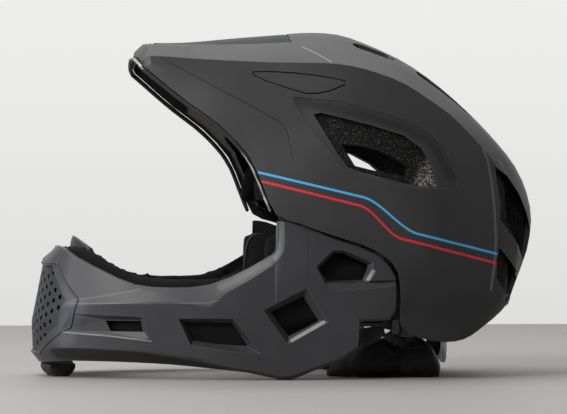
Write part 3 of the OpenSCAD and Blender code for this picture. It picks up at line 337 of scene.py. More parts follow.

# Paints the guard's own tone over the painted edge highlight on the eased crease.
EASED_CREASE = Groove(((-12.4, 77.0), (-12.6, 50.0)), 1.5, 0.8, (0.029, 0.029, 0.032), 1.0)
# Painted shade along the guard's lower side, beneath its lowest crease.
GUARD_LOW_SHADE = Groove(
    ((-153.2, 16.3), (-131.2, 15.5), (-98.8, 14.7), (-66.4, 10.6), (-32.0, 0.5)), 3.2, 2.2,
    (0.001, 0.001, 0.001), 0.95)
# Painted light, bluish, on the guard's front corner.
CORNER_LIGHT = Groove(
    ((-139.0, 46.4), (-143.6, 37.2), (-146.3, 26.8)), 4.0, 5.0, (0.075, 0.080, 0.10), 0.6,
    beyond=28.0)
# Painted highlight along the guard's rim by the cheek.
CHEEK_RIM_HIGHLIGHT = Groove(
    ((-14.5, 78.6), (-22.0, 73.9), (-37.6, 64.5), (-48.0, 60.0)), 1.6, 2.2, WEAR_AND_HIGHLIGHT, 0.45)
GUARD_SEAM = Groove(((7.3, 96.5), (7.9, 80.4), (7.9, 64.3)), 0.25, 0.4, strength=0.45)
# Painted highlight, bluish, on the bevel along the ear part's front edge.
EAR_EDGE_HIGHLIGHT = Groove(
    ((-8.9, 102.9), (-8.9, 90.0), (-9.6, 83.5), (-12.9, 78.9)), 1.6, 0.7, (0.19, 0.20, 0.22), 0.6)
# Painted highlights along the guard's upper crease and its crest.
UPPER_HIGHLIGHT = Groove(
    ((-145.1, 48.9), (-93.9, 49.4), (-56.6, 49.7), (-49.6, 51.2)), 0.25, 0.35, WEAR_AND_HIGHLIGHT, 0.5)
CREST_HIGHLIGHT = Groove(((-143.0, 50.7), (-129.4, 52.6), (-99.0, 58.4)), 0.25, 0.35, WEAR_AND_HIGHLIGHT, 0.5)
# Painted highlight along the edge of the guard's front vent.
VENT_HIGHLIGHT = Groove(((-148.0, 30.1), (-118.2, 28.0), (-92.3, 25.0)), 0.3, 0.35, PAINTED_HIGHLIGHT, 0.6)
DIAMOND_GLINT = Groove(((-2.7, 25.6), (18.1, 37.4)), 0.9, 0.4, PAINTED_HIGHLIGHT, 0.8)
EAR_GLINT = Groove(((46.8, 64.7), (50.0, 69.9)), 1.1, 0.4, PAINTED_HIGHLIGHT, 0.75)
GUARD_LINES = (EASED_CREASE, GUARD_LOW_SHADE, CORNER_LIGHT, CHEEK_RIM_HIGHLIGHT, GUARD_SEAM, EAR_EDGE_HIGHLIGHT,
               UPPER_HIGHLIGHT, CREST_HIGHLIGHT, VENT_HIGHLIGHT, DIAMOND_GLINT, EAR_GLINT)
BLUE_STRIPE = Stripe((0.075, 0.43, 0.80), -26.0, 134.2, 0.240, 15.1, 43.0, 79.0)
RED_STRIPE = Stripe((0.76, 0.020, 0.040), -24.0, 128.4, 0.249, 14.6, 41.0, 68.0)


@dataclass(frozen=True)
class MouldedBlack:
    """Satin black moulded plastic with a fine grain, worn patches, wear and painted light along
    edges, and moulded lines with painted highlights and painted shade.
    """

    name: str = "moulded_black"
    shade: Point = (0.028, 0.028, 0.030)
    rough: float = 0.47
    grain_mm: float = 0.55
    stripes: tuple[Stripe, ...] = ()
    lines: tuple[Groove, ...] = ()
    edge_mm: float = 0.5
    # Share and tone of the edge colour: wear with a painted highlight where the tone is light,
    # painted shade where it is dark.
    wear_and_shading_share: float = 0.35
    wear_and_shading_tone: Point = WEAR_AND_HIGHLIGHT
    dust_tone: Point = (0.20, 0.20, 0.20)
    side_from: float = 60.0
    fade_mm: float = 2.0

    def material(self) -> Material:
        """Build the material."""
        s = NodeSheet(self.name)
        patches = s.noise(46.0, 3.0, 0.6)
        grain = s.noise(self.grain_mm, 1.5)
        dust = s.cells(3.4).step(0.10, 0.04) * s.noise(9.0).step(0.52, 0.66)
        colour = s.drift(patches.step(0.35, 0.7), self.shade, 1.28)
        colour = s.mix(dust * 0.10, colour, self.dust_tone)
        rough = patches * 0.10 + (self.rough - 0.05) + grain * 0.05
        # Edge colour in patches: wear and a painted highlight with a light edge tone, painted
        # shade with a dark one.
        worn = s.noise(11.0, 3.0).step(0.25, 0.6) * 0.6 + 0.4
        edge_wear_and_shading = s.edges(self.edge_mm * 1.6).step(0.004, 0.07) * worn
        colour = s.mix(edge_wear_and_shading * self.wear_and_shading_share, colour, self.wear_and_shading_tone)
        height = grain
        x, y, z = s.axes()
        # Moulded lines, painted highlights and painted shade along the listed paths.
        for line in self.lines:
            mask = line.mask(x, z) * abs(y).step(line.beyond, line.beyond + self.fade_mm)
            colour = s.mix(mask * line.strength, colour, line.tone)
            if line.deep:
                height = height - mask * line.deep
        for stripe in self.stripes:
            mask = stripe.mask(x, z) * abs(y).step(self.side_from, self.side_from + self.fade_mm)
            colour = s.mix(mask, colour, stripe.colour)
            rough = rough - mask * 0.1
        return s.finish(colour, rough, height, 0.05, self.edge_mm, Specular_IOR_Level=0.5)


@dataclass(frozen=True)
class GlossBlack:
    """Smooth black insert with a faint smear."""

    name: str = "gloss_insert"
    shade: Point = (0.010, 0.013, 0.013)
    rough: float = 0.35

    def material(self) -> Material:
        """Build the material."""
        s = NodeSheet(self.name)
        smear = s.noise(18.0, 3.0, 0.6)
        colour, rough = s.drift(smear, self.shade, 1.6), smear * 0.10 + self.rough - 0.05
        return s.finish(colour, rough, s.noise(2.5), 0.012, Specular_IOR_Level=0.04)


@dataclass(frozen=True)
class BeadFoam:
    """Black moulded bead foam with faint pale flecks, and painted glints and brighter flecks where
    light reaches it.
    """

    name: str = "bead_foam"
    shade: Point = (0.0045, 0.0045, 0.0045)
    fleck: Point = (0.50, 0.46, 0.42)
    bead_mm: float = 3.2
    rough: float = 0.62

    def lit(self, s: NodeSheet) -> Signal:
        """Where the side openings let light onto the foam, from 0 to 1."""
        x, y, z = s.axes()
        along = (x - z * 0.55).step(2.0, 16.0) * x.step(116.0, 106.0)
        return along * z.step(100.0, 108.0) * abs(y).step(64.0, 67.0)

    def material(self) -> Material:
        """Build the material."""
        s = NodeSheet(self.name)
        # Painted light: glints and brighter flecks only where the side openings let light in.
        lit_glints = s.noise(1.4, 2.0, 0.6).step(0.47, 0.60)
        grains = s.noise(0.8, 2.0, 0.6).step(0.58, 0.68)
        share = grains * (s.noise(7.0, 2.0) * 0.45) + self.lit(s) * (lit_glints * 0.75 + 0.08)
        colour = s.mix(share.least(1.0), self.shade, self.fleck)
        beads = 1.0 - s.cells(self.bead_mm)
        return s.finish(colour, grains * 0.2 + self.rough, beads, 0.35, Specular_IOR_Level=0.15)


@dataclass(frozen=True)
class Knit:
    """Brushed knit over foam, with its fuzz, ribs and a soft sheen."""

    name: str = "brushed_knit"
    shade: Point = (0.0018, 0.0018, 0.0019)
    pitch_mm: float = 1.1
    rough: float = 0.93

    def material(self) -> Material:
        """Build the material."""
        s = NodeSheet(self.name)
        x, y, z = s.axes()
        turn = TURN / self.pitch_mm
        wander = s.noise(6.0) * 2.0
        ribs = ((x + z * 0.5) * turn + wander).sine() * ((y + z * 0.8) * turn).sine() * 0.5 + 0.5
        fuzz = s.noise(0.5, 3.0, 0.7)
        colour = s.drift(fuzz * 0.7 + s.noise(14.0, 3.0, 0.6) * 0.3, self.shade, 3.0)
        return s.finish(colour, self.rough, ribs * 0.5 + fuzz * 0.8, 0.35, Sheen_Weight=0.02,
                        Sheen_Roughness=0.5, Specular_IOR_Level=0.25)


@dataclass(frozen=True)
class Webbing:
    """Woven strap with a herringbone rib along it and a bound edge."""

    name: str = "woven_strap"
    shade: Point = (0.013, 0.013, 0.014)
    half_width: float = 7.5
    rib_mm: float = 1.3
    row_mm: float = 3.0

    def material(self) -> Material:
        """Build the material."""
        s = NodeSheet(self.name)
        along, across = s.cloth_map()
        zig = abs((across * (math.pi / self.row_mm)).sine())
        rib = (along * (TURN / self.rib_mm) + zig * 3.0).sine() * 0.5 + 0.5
        edge = abs(across).step(self.half_width - 1.2, self.half_width - 0.7)
        colour = s.drift(rib * 0.8, self.shade, 3.0)
        return s.finish(colour, 0.85, rib * (1.0 - edge) + edge, 0.25, Sheen_Weight=0.2)


@dataclass(frozen=True)
class BrushedMetal:
    """Satin metal with fine draw lines."""

    name: str = "satin_metal"
    shade: Point = (0.55, 0.55, 0.56)
    rough: float = 0.34
    metallic: float = 1.0

    def material(self) -> Material:
        """Build the material."""
        s = NodeSheet(self.name)
        lines = (s.axes()[2] * 9.0 + s.noise(3.0) * 6.0).sine() * 0.5 + 0.5
        colour = s.drift(s.noise(5.0, 3.0, 0.6), self.shade, 0.75)
        return s.finish(colour, lines * 0.12 + self.rough, lines, 0.01, Metallic=self.metallic)


@dataclass(frozen=True)
class SoftRubber:
    """Matte rubber with a dusty surface."""

    name: str = "soft_rubber"
    shade: Point = (0.010, 0.010, 0.010)
    rough: float = 0.62

    def material(self) -> Material:
        """Build the material."""
        s = NodeSheet(self.name)
        dust = s.noise(7.0, 3.0, 0.6)
        colour = s.drift(dust.step(0.45, 0.75), self.shade, 2.6)
        return s.finish(colour, dust * 0.15 + self.rough, s.noise(0.7), 0.04)


@dataclass(frozen=True)
class ClearPlastic:
    """Frosted clear plastic that lets some light through."""

    name: str = "frosted_plastic"
    shade: Point = (0.72, 0.74, 0.76)

    def material(self) -> Material:
        """Build the material."""
        s = NodeSheet(self.name)
        haze = s.noise(4.0, 2.0)
        return s.finish(s.drift(haze, self.shade, 0.8), haze * 0.2 + 0.2, s.noise(1.5), 0.03,
                        Transmission_Weight=0.35, Alpha=0.75)


class Finish(Enum):
    """Every finish of the helmet."""

    SHELL = MouldedBlack(
        "painted_shell", (0.024, 0.024, 0.024), stripes=(BLUE_STRIPE, RED_STRIPE),
        lines=SHELL_LINES)
    # Inlays: the dark edge tone is painted shade along their edges.
    INLAY = MouldedBlack(
        "inlay_black", (0.026, 0.026, 0.027), edge_mm=0.8, wear_and_shading_share=0.95,
        wear_and_shading_tone=(0.001, 0.001, 0.001))
    INNER_WALL = MouldedBlack("bare_shell_wall", (0.008, 0.008, 0.008), 0.6, wear_and_shading_share=0.0)
    GUARD = MouldedBlack("painted_guard", (0.027, 0.027, 0.030), 0.44, lines=GUARD_LINES)
    GRILLE = MouldedBlack("painted_grille", (0.012, 0.014, 0.018), 0.55)
    SATIN = MouldedBlack("satin_moulding", (0.030, 0.030, 0.031), 0.42, 0.4)
    GLOSS = GlossBlack()
    LINER = BeadFoam()
    TRIM = BrushedMetal("edge_trim", (0.50, 0.49, 0.47), 0.36, 0.7)
    KNIT = Knit()
    SLEEVE = Knit("sleeve_cloth", (0.0012, 0.0012, 0.0013), rough=0.40)
    DARK_METAL = BrushedMetal("blackened_metal", (0.035, 0.035, 0.036), 0.4, 0.6)
    STRAP = Webbing()
    THREAD = SoftRubber("sewing_thread", (0.020, 0.020, 0.021), 0.75)
    PIPING = SoftRubber("bound_piping", (0.006, 0.006, 0.006), 0.5)
    METAL = BrushedMetal()
    RUBBER = SoftRubber()
    SOFT = SoftRubber("soft_shield", (0.010, 0.010, 0.011), 0.38)
    CLEAR = ClearPlastic()

    def material(self) -> Material:
        """The finish's material, built once."""
        return bpy.data.materials.get(self.value.name) or self.value.material()


# Mesh helpers
# Lengths in metres.
WELD_REACH = 2e-6
RAY = 0.2
TABLE_GAP = 0.0006
CLOTH_FRAMES = 12
# Slack cloth: how fine its lumps and folds are, and where along it the back rises.
LUMPS, FINE_LUMPS, FOLDS, FOLD_SHIFT = 62.0, 150.0, 48.0, Vector((7.0, 3.0, 1.0))
RISE_FROM, RISE_OVER, FALL_TO, FALL_OVER, RISE = 0.30, 0.2, 0.97, 0.12, 1.9
# Points that the inner walls look at, in metres.
HEAD_MIDDLE: Point = (0.03, 0.0, 0.11)
GUARD_MIDDLE: Point = (0.03, 0.0, 0.06)


def new_piece(name: str, mesh: Mesh, finish: Finish) -> Object:
    """Link a mesh, which holds its place in its points, as an object at the origin."""
    piece = bpy.data.objects.new(name, mesh)
    bpy.context.scene.collection.objects.link(piece)
    mesh.materials.clear()
    mesh.materials.append(finish.material())
    return piece


def weld(mesh: Mesh, sharp_deg: float) -> None:
    """Merge loose triangles, shade them smooth and keep edges that turn by more sharp."""
    work = bmesh.new()
    work.from_mesh(mesh)
    bmesh.ops.remove_doubles(work, verts=work.verts, dist=WELD_REACH)
    limit = math.radians(sharp_deg)
    for face in work.faces:
        face.smooth = True
    for edge in work.edges:
        edge.smooth = not (len(edge.link_faces) == 2 and edge.calc_face_angle(0.0) > limit)
    work.to_mesh(mesh)
    work.free()


def settle(frame: dict, piece: Object, *nodes: str) -> None:
    """Let a piece stand for CAD nodes of the loaded frame and ride on their body."""
    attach(piece, frame["nodes"][nodes[0]]["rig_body"])
    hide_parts(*nodes)
    slot_of(frame, nodes[0])


def slot_of(frame: dict, node: str) -> str:
    """The record's material slot of a CAD node."""
    rows = frame["record"]["subparts"]
    return next(row["material_slot"] for row in rows if row["node"] == node)


def apply_modifiers(piece: Object) -> None:
    """Turn a piece's evaluated shape into its plain mesh."""
    graph = bpy.context.evaluated_depsgraph_get()
    old = piece.data
    fresh = bpy.data.meshes.new_from_object(piece.evaluated_get(graph), depsgraph=graph)
    piece.modifiers.clear()
    piece.data = fresh
    bpy.data.meshes.remove(old)


def add_even(piece: Object, voxel: float) -> None:
    """Add a modifier that gives a piece an even mesh, with faces of a size in metres."""
    remesh = piece.modifiers.new("even", "REMESH")
    remesh.mode, remesh.voxel_size = "VOXEL", voxel


def add_relax(piece: Object, rounds: int) -> None:
    """Add a modifier that smooths a piece a number of times."""
    relax = piece.modifiers.new("relax", "SMOOTH")
    relax.factor, relax.iterations = 0.5, rounds


def add_round(piece: Object) -> None:
    """Add a modifier that halves a piece's faces and rounds them."""
    rounder = piece.modifiers.new("round", "SUBSURF")
    rounder.levels = rounder.render_levels = 1


def recoat(piece: Object, finish: Finish) -> None:
    """Apply a piece's modifiers, shade it smooth and give it its one finish."""
    apply_modifiers(piece)
    for face in piece.data.polygons:
        face.use_smooth = True
    piece.data.materials.clear()
    piece.data.materials.append(finish.material())


def bounds_of(piece: Object) -> tuple[Vector, Vector]:
    """Lowest and highest corner of a piece's mesh, in metres."""
    axes = list(zip(*(v.co for v in piece.data.vertices)))
    return Vector([min(a) for a in axes]), Vector([max(a) for a in axes])


class LineTree:
    """A Geometry Nodes tree that grows something along a mesh's edges."""

    def __init__(self, name: str, finish: Finish, **sizes: float) -> None:
        """Start a tree along the incoming edges, with named sizes in metres as its inputs."""
        self.group = bpy.data.node_groups.new(name, "GeometryNodeTree")
        self.finish = finish
        face = self.group.interface
        face.new_socket("Geometry", in_out="INPUT", socket_type="NodeSocketGeometry")
        for key, value in sizes.items():
            socket = face.new_socket(key, in_out="INPUT", socket_type="NodeSocketFloat")
            socket.default_value = value
        face.new_socket("Geometry", in_out="OUTPUT", socket_type="NodeSocketGeometry")
        self.entry = add_node(self.group, "NodeGroupInput", {})
        self.curve = self.add("GeometryNodeMeshToCurve", {}, [self.entry.outputs[0]])

    def add(self, kind: str, settings: dict, values: Values = ()) -> Socket:
        """Add a node to the tree and take its first output."""
        return add_node(self.group, kind, settings, values).outputs[0]

    def along(self, size: str) -> Socket:
        """The curve with points at even steps of a named size."""
        values = {"Curve": self.curve, "Length": self.size(size)}
        return self.add("GeometryNodeResampleCurve", {"mode": "LENGTH"}, values)

    def size(self, name: str) -> Socket:
        """The socket of a named size."""
        return self.entry.outputs[name]

    def close(self, geometry: Socket) -> None:
        """End the tree with real, smooth, finished geometry."""
        real = self.add("GeometryNodeRealizeInstances", {}, [geometry])
        smooth = self.add("GeometryNodeSetShadeSmooth", {}, [real])
        paint = {"Geometry": smooth, "Material": self.finish.material()}
        painted = self.add("GeometryNodeSetMaterial", {}, paint)
        add_node(self.group, "NodeGroupOutput", {}, [painted])

    def grow(self, name: str, lines: Mesh) -> Object:
        """Grow a piece of its own along a mesh's edges, as a plain mesh."""
        piece = bpy.data.objects.new(name, lines)
        bpy.context.scene.collection.objects.link(piece)
        piece.modifiers.new("grow", "NODES").node_group = self.group
        apply_modifiers(piece)
        return piece


def bead_tree(name: str, finish: Finish, radius: float) -> LineTree:
    """A round bead or piping swept along the lines."""
    tree = LineTree(name, finish, Radius=radius, Step=0.0012)
    sizes = {"Resolution": 8, "Radius": tree.size("Radius")}
    ring = tree.add("GeometryNodeCurvePrimitiveCircle", {}, sizes)
    swept = {"Curve": tree.along("Step"), "Profile Curve": ring, "Fill Caps": True}
    tree.close(tree.add("GeometryNodeCurveToMesh", {}, swept))
    return tree


def stitch_tree(name: str, pitch: float, length: float, thick: float) -> LineTree:
    """A row of thread stitches laid along the lines."""
    tree = LineTree(name, Finish.THREAD, Pitch=pitch, Length=length, Thick=thick)
    ahead = {"Vector": tree.add("GeometryNodeInputTangent", {})}
    turned = tree.add("FunctionNodeAlignRotationToVector", {"axis": "X"}, ahead)
    thread = tree.add("GeometryNodeMeshUVSphere", {}, {"Segments": 6, "Rings": 4, "Radius": 0.5})
    sizes = [tree.size("Length"), tree.size("Thick"), tree.size("Thick")]
    laid = {"Points": tree.along("Pitch"), "Instance": thread, "Rotation": turned,
            "Scale": tree.add("ShaderNodeCombineXYZ", {}, sizes)}
    tree.close(tree.add("GeometryNodeInstanceOnPoints", {}, laid))
    return tree


def line_mesh(name: str, lines: Iterable[Sequence[Vector]], closed: bool = False) -> Mesh:
    """A mesh of edges alone, from lines of points in metres."""
    points, edges = [], []
    for line in lines:
        base, count = len(points), len(line)
        points += [tuple(p) for p in line]
        edges += [(base + i, base + i + 1) for i in range(count - 1)]
        if closed:
            edges.append((base + count - 1, base))
    mesh = bpy.data.meshes.new(name)
    mesh.from_pydata(points, edges, [])
    return mesh


def cut_lines(piece: Object, cuts: Iterable[tuple[Point, Point]], lift: float) -> Mesh:
    """The lines where planes cross a piece's surface, as a mesh of edges alone.

    Args:
        piece: The piece.
        cuts: A point of each plane in millimetres, and its normal.
        lift: How far the lines stand off the surface, in metres.
    """
    out = bmesh.new()
    for place, normal in cuts:
        work = bmesh.new()
        work.from_mesh(piece.data)
        plane = {"plane_co": Vector(place) * MM, "plane_no": Vector(normal)}
        whole = [*work.verts, *work.edges, *work.faces]
        found = bmesh.ops.bisect_plane(work, geom=whole, **plane)["geom_cut"]
        work.normal_update()
        corners = [part for part in found if isinstance(part, bmesh.types.BMVert)]
        kept = {v: out.verts.new(v.co + v.normal * lift) for v in corners}
        for edge in found:
            if isinstance(edge, bmesh.types.BMEdge) and all(v in kept for v in edge.verts):
                out.edges.new([kept[v] for v in edge.verts])
        work.free()
    mesh = bpy.data.meshes.new("cut")
    out.to_mesh(mesh)
    out.free()
    return mesh


def smooth_path(points: Sequence[Point], steps: int) -> list[Vector]:
    """Points of a smooth curve through the given ones, with steps between two of them."""
    keys = [Vector(p) for p in points]
    keys = [keys[0] * 2 - keys[1], *keys, keys[-1] * 2 - keys[-2]]
    out = []
    for i in range(1, len(keys) - 2):
        a, b, c, d = keys[i - 1 : i + 3]
        straight, bend, twist = c - a, 2 * a - 5 * b + 4 * c - d, 3 * b - a - 3 * c + d
        for t in (k / steps for k in range(steps)):
            out.append(0.5 * (2 * b + straight * t + bend * t * t + twist * t**3))
    return [*out, keys[-2]]


def frames_along(
    points: Sequence[Vector], facing: Facing
) -> Iterator[tuple[Vector, Vector, Vector]]:
    """Each point of a line, with the ways to the side and out of a strap laid on it."""
    for i, p in enumerate(points):
        ahead = (points[min(i + 1, len(points) - 1)] - points[max(i - 1, 0)]).normalized()
        side = ahead.cross(facing(p)).normalized()
        yield p, side, side.cross(ahead)


def woven_ribbon(
    points: Sequence[Vector], facing: Facing, wide: float, thick: float, bound: float = 0.5
) -> Mesh:
    """A strap with rounded edges and a map along and across its weave.

    Args:
        points: Middle line in millimetres, as are the three sizes.
        facing: Direction that the strap's face looks in at a point.
        wide: Width.
        thick: Thickness.
        bound: Width of its rounded edges.
    """
    half, lift = wide / 2, thick / 2
    flat, low = half - bound, lift * 0.3
    ring = [(-flat, -lift), (flat, -lift), (half, -low), (half, low),
            (flat, lift), (-flat, lift), (-half, low), (-half, -low)]
    work = bmesh.new()
    weave = work.loops.layers.uv.new("weave")
    run = [0.0]
    for a, b in zip(points, points[1:]):
        run.append(run[-1] + (b - a).length)
    rows = [[work.verts.new((p + side * u + out * v) * MM) for u, v in ring]
            for p, side, out in frames_along(points, facing)]
    for i in range(len(rows) - 1):
        for k in range(len(ring)):
            n = (k + 1) % len(ring)
            corners = ((i, k), (i, n), (i + 1, n), (i + 1, k))
            face = work.faces.new([rows[r][c] for r, c in corners])
            face.smooth = True
            for loop, (r, c) in zip(face.loops, corners):
                loop[weave].uv = (run[r] * MM, ring[c][0] * MM)
    for row, order in ((rows[0], 1), (rows[-1], -1)):
        work.faces.new(row[::order])
    bmesh.ops.recalc_face_normals(work, faces=work.faces)
    mesh = bpy.data.meshes.new("strap")
    work.to_mesh(mesh)
    work.free()
    return mesh


@dataclass
class Assembly:
    """A group of the helmet's pieces, built over its CAD nodes."""

    frame: dict
    pieces: list[Object] = field(default_factory=list)

    def dress(self, node: str, name: str, finish: Finish, sharp_deg: float = 28.0) -> Object:
        """Put a copy of a CAD node, merged and shaded, in its place.

        Args:
            node: Name of the CAD node.
            name: Name of the piece.
            finish: Its finish.
            sharp_deg: Edges that turn by more stay sharp.

        Returns:
            The new piece, riding on the node's body.
        """
        mesh = self.frame["nodes"][node].data.copy()
        weld(mesh, sharp_deg)
        piece = new_piece(name, mesh, finish)
        settle(self.frame, piece, node)
        self.note(piece)
        return piece

    @staticmethod
    def line_inside(piece: Object, finish: Finish, centre: Point, limit: float = 0.0) -> None:
        """Give the faces that look inwards, to a point in metres, a finish of their own.

        A face counts as inner where the cosine of its angle to the way out is below the limit.
        """
        piece.data.materials.append(finish.material())
        middle = Vector(centre)
        for face in piece.data.polygons:
            if face.normal.dot((face.center - middle).normalized()) < limit:
                face.material_index = 1

    def moulded(self, node: str, name: str, finish: Finish, rounds: int) -> None:
        """Dress a node with a rounded piece, smoothed a number of times."""
        piece = self.dress(node, name, finish, 180.0)
        add_even(piece, 0.9 * MM)
        add_relax(piece, rounds)
        recoat(piece, finish)

    def trim_with(self, tree: LineTree, name: str, node: str, lines: Mesh) -> None:
        """Grow trimming along a mesh of edges and let it ride with a CAD node."""
        piece = tree.grow(name, lines)
        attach(piece, self.frame["nodes"][node]["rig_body"])
        slot_of(self.frame, node)
        self.note(piece)

    def note(self, piece: Object) -> None:
        """Keep a piece and report it."""
        self.pieces.append(piece)
        LOG.info("%s: %d faces", piece.name, len(piece.data.polygons))

    def pad(
        self, node: str, name: str, fill: float = 0.6, swell: float = 0.8, voxel: float = 2.1,
        finish: Finish = Finish.KNIT, lumps: float = 0.0,
    ) -> Object:
        """Puff a soft CAD solid up into a padded piece.

        Args:
            node: Name of the CAD node.
            name: Name of the piece.
            swell: How far its cloth may rise, in millimetres.
            voxel: Size of its mesh's faces in millimetres.
            finish: Its finish.
            lumps: Height of its lumps and folds, in millimetres.

        Returns:
            The padded piece.
        """
        mesh = self.frame["nodes"][node].data.copy()
        weld(mesh, 180.0)
        piece = new_piece(name, mesh, finish)
        add_even(piece, voxel * MM)
        apply_modifiers(piece)
        self.inflate(piece, swell * MM)
        if lumps:
            self.crumple(piece, lumps * MM)
        add_relax(piece, 3 if lumps else 8)
        add_round(piece)
        recoat(piece, finish)
        settle(self.frame, piece, node)
        self.note(piece)
        return piece

    @staticmethod
    def crumple(piece: Object, height: float) -> None:
        """Give slack cloth its folds, a raised back and lumps of a height in metres."""
        low, high = bounds_of(piece)
        tall, long = high[2] - low[2], high[0] - low[0]
        for vertex in piece.data.vertices:
            along, up = (vertex.co.x - low[0]) / long, (vertex.co.z - low[2]) / tall
            lump = noise.noise(vertex.co * LUMPS) + 0.45 * noise.noise(vertex.co * FINE_LUMPS)
            fold = (1.0 - abs(noise.noise(vertex.co * FOLDS + FOLD_SHIFT))) ** 9
            vertex.co += vertex.normal * height * (lump - fold)
            start, end = (along - RISE_FROM) / RISE_OVER, (FALL_TO - along) / FALL_OVER
            window = min(max(start, 0.0), 1.0) * min(max(end, 0.0), 1.0)
            vertex.co.z += RISE * height * window * up * up
            vertex.co.z = max(vertex.co.z, TABLE_GAP)

    @staticmethod
    def inflate(piece: Object, cap: float) -> None:
        """Blow the piece's cloth up and keep it, moving no point farther than the cap."""
        start = [v.co.copy() for v in piece.data.vertices]
        cloth = piece.modifiers.new("cloth", "CLOTH")
        cloth.settings.use_pressure = True
        cloth.settings.uniform_pressure_force = 3.0
        cloth.settings.mass = 0.3
        cloth.settings.quality = 4
        cloth.settings.effector_weights.gravity = 0.0
        cloth.collision_settings.use_collision = False
        scene = bpy.context.scene
        for frame in range(1, CLOTH_FRAMES + 1):
            scene.frame_set(frame)
        apply_modifiers(piece)
        scene.frame_set(1)
        for vertex, home in zip(piece.data.vertices, start):
            shift = vertex.co - home
            if shift.length > cap:
                vertex.co = home + shift.normalized() * cap


@dataclass
class ShellParts(Assembly):
    """The outer shell with its fixed visor, edge trim and inlays."""

    def build(self) -> None:
        """Dress the shell's pieces."""
        shell = self.dress("outer_shell", "shell", Finish.SHELL, 12.0)
        self.line_inside(shell, Finish.INNER_WALL, HEAD_MIDDLE)
        trim = self.dress("port_trim", "face_port_trim", Finish.TRIM, 180.0)
        add_round(trim)
        apply_modifiers(trim)
        self.line_inside(trim, Finish.RUBBER, HEAD_MIDDLE, 0.9)
        self.dress("visor_top_panel", "visor_panel", Finish.GLOSS, 35.0)
        for side in SIDES:
            self.dress(f"inlay_{side}", f"side_inlay_{side}", Finish.INLAY, 40.0)


@dataclass
class LinerParts(Assembly):
    """The foam liner and the comfort pads inside it."""

    temple_cuts: tuple[float, ...] = (0.33, 0.67)
    wide_cuts: tuple[float, ...] = (0.14, 0.32, 0.5, 0.68, 0.86)

    def build(self) -> None:
        """Dress the liner and puff its pads, with seams across them."""
        self.dress("eps_liner", "foam_liner", Finish.LINER, 30.0)
        seams = stitch_tree("pad_stitches", 0.0030, 0.0021, 0.0005)
        for node in ("brow_pad", "crown_pad", "rear_pad", "temple_pad_left", "temple_pad_right"):
            cloth = self.pad(node, f"{node}_cloth")
            low, high = (v * PER_M for v in bounds_of(cloth))
            size, mid = high - low, (low + high) / 2
            if node.startswith("temple"):
                places = [(low.x + size.x * share, mid.y, mid.z) for share in self.temple_cuts]
                across = (1, 0, 0)
            else:
                places = [(mid.x, low.y + size.y * share, mid.z) for share in self.wide_cuts]
                across = (0, 1, 0)
            cuts = [(place, across) for place in places]
            self.trim_with(seams, f"{node}_seams", node, cut_lines(cloth, cuts, 0.05 * MM))


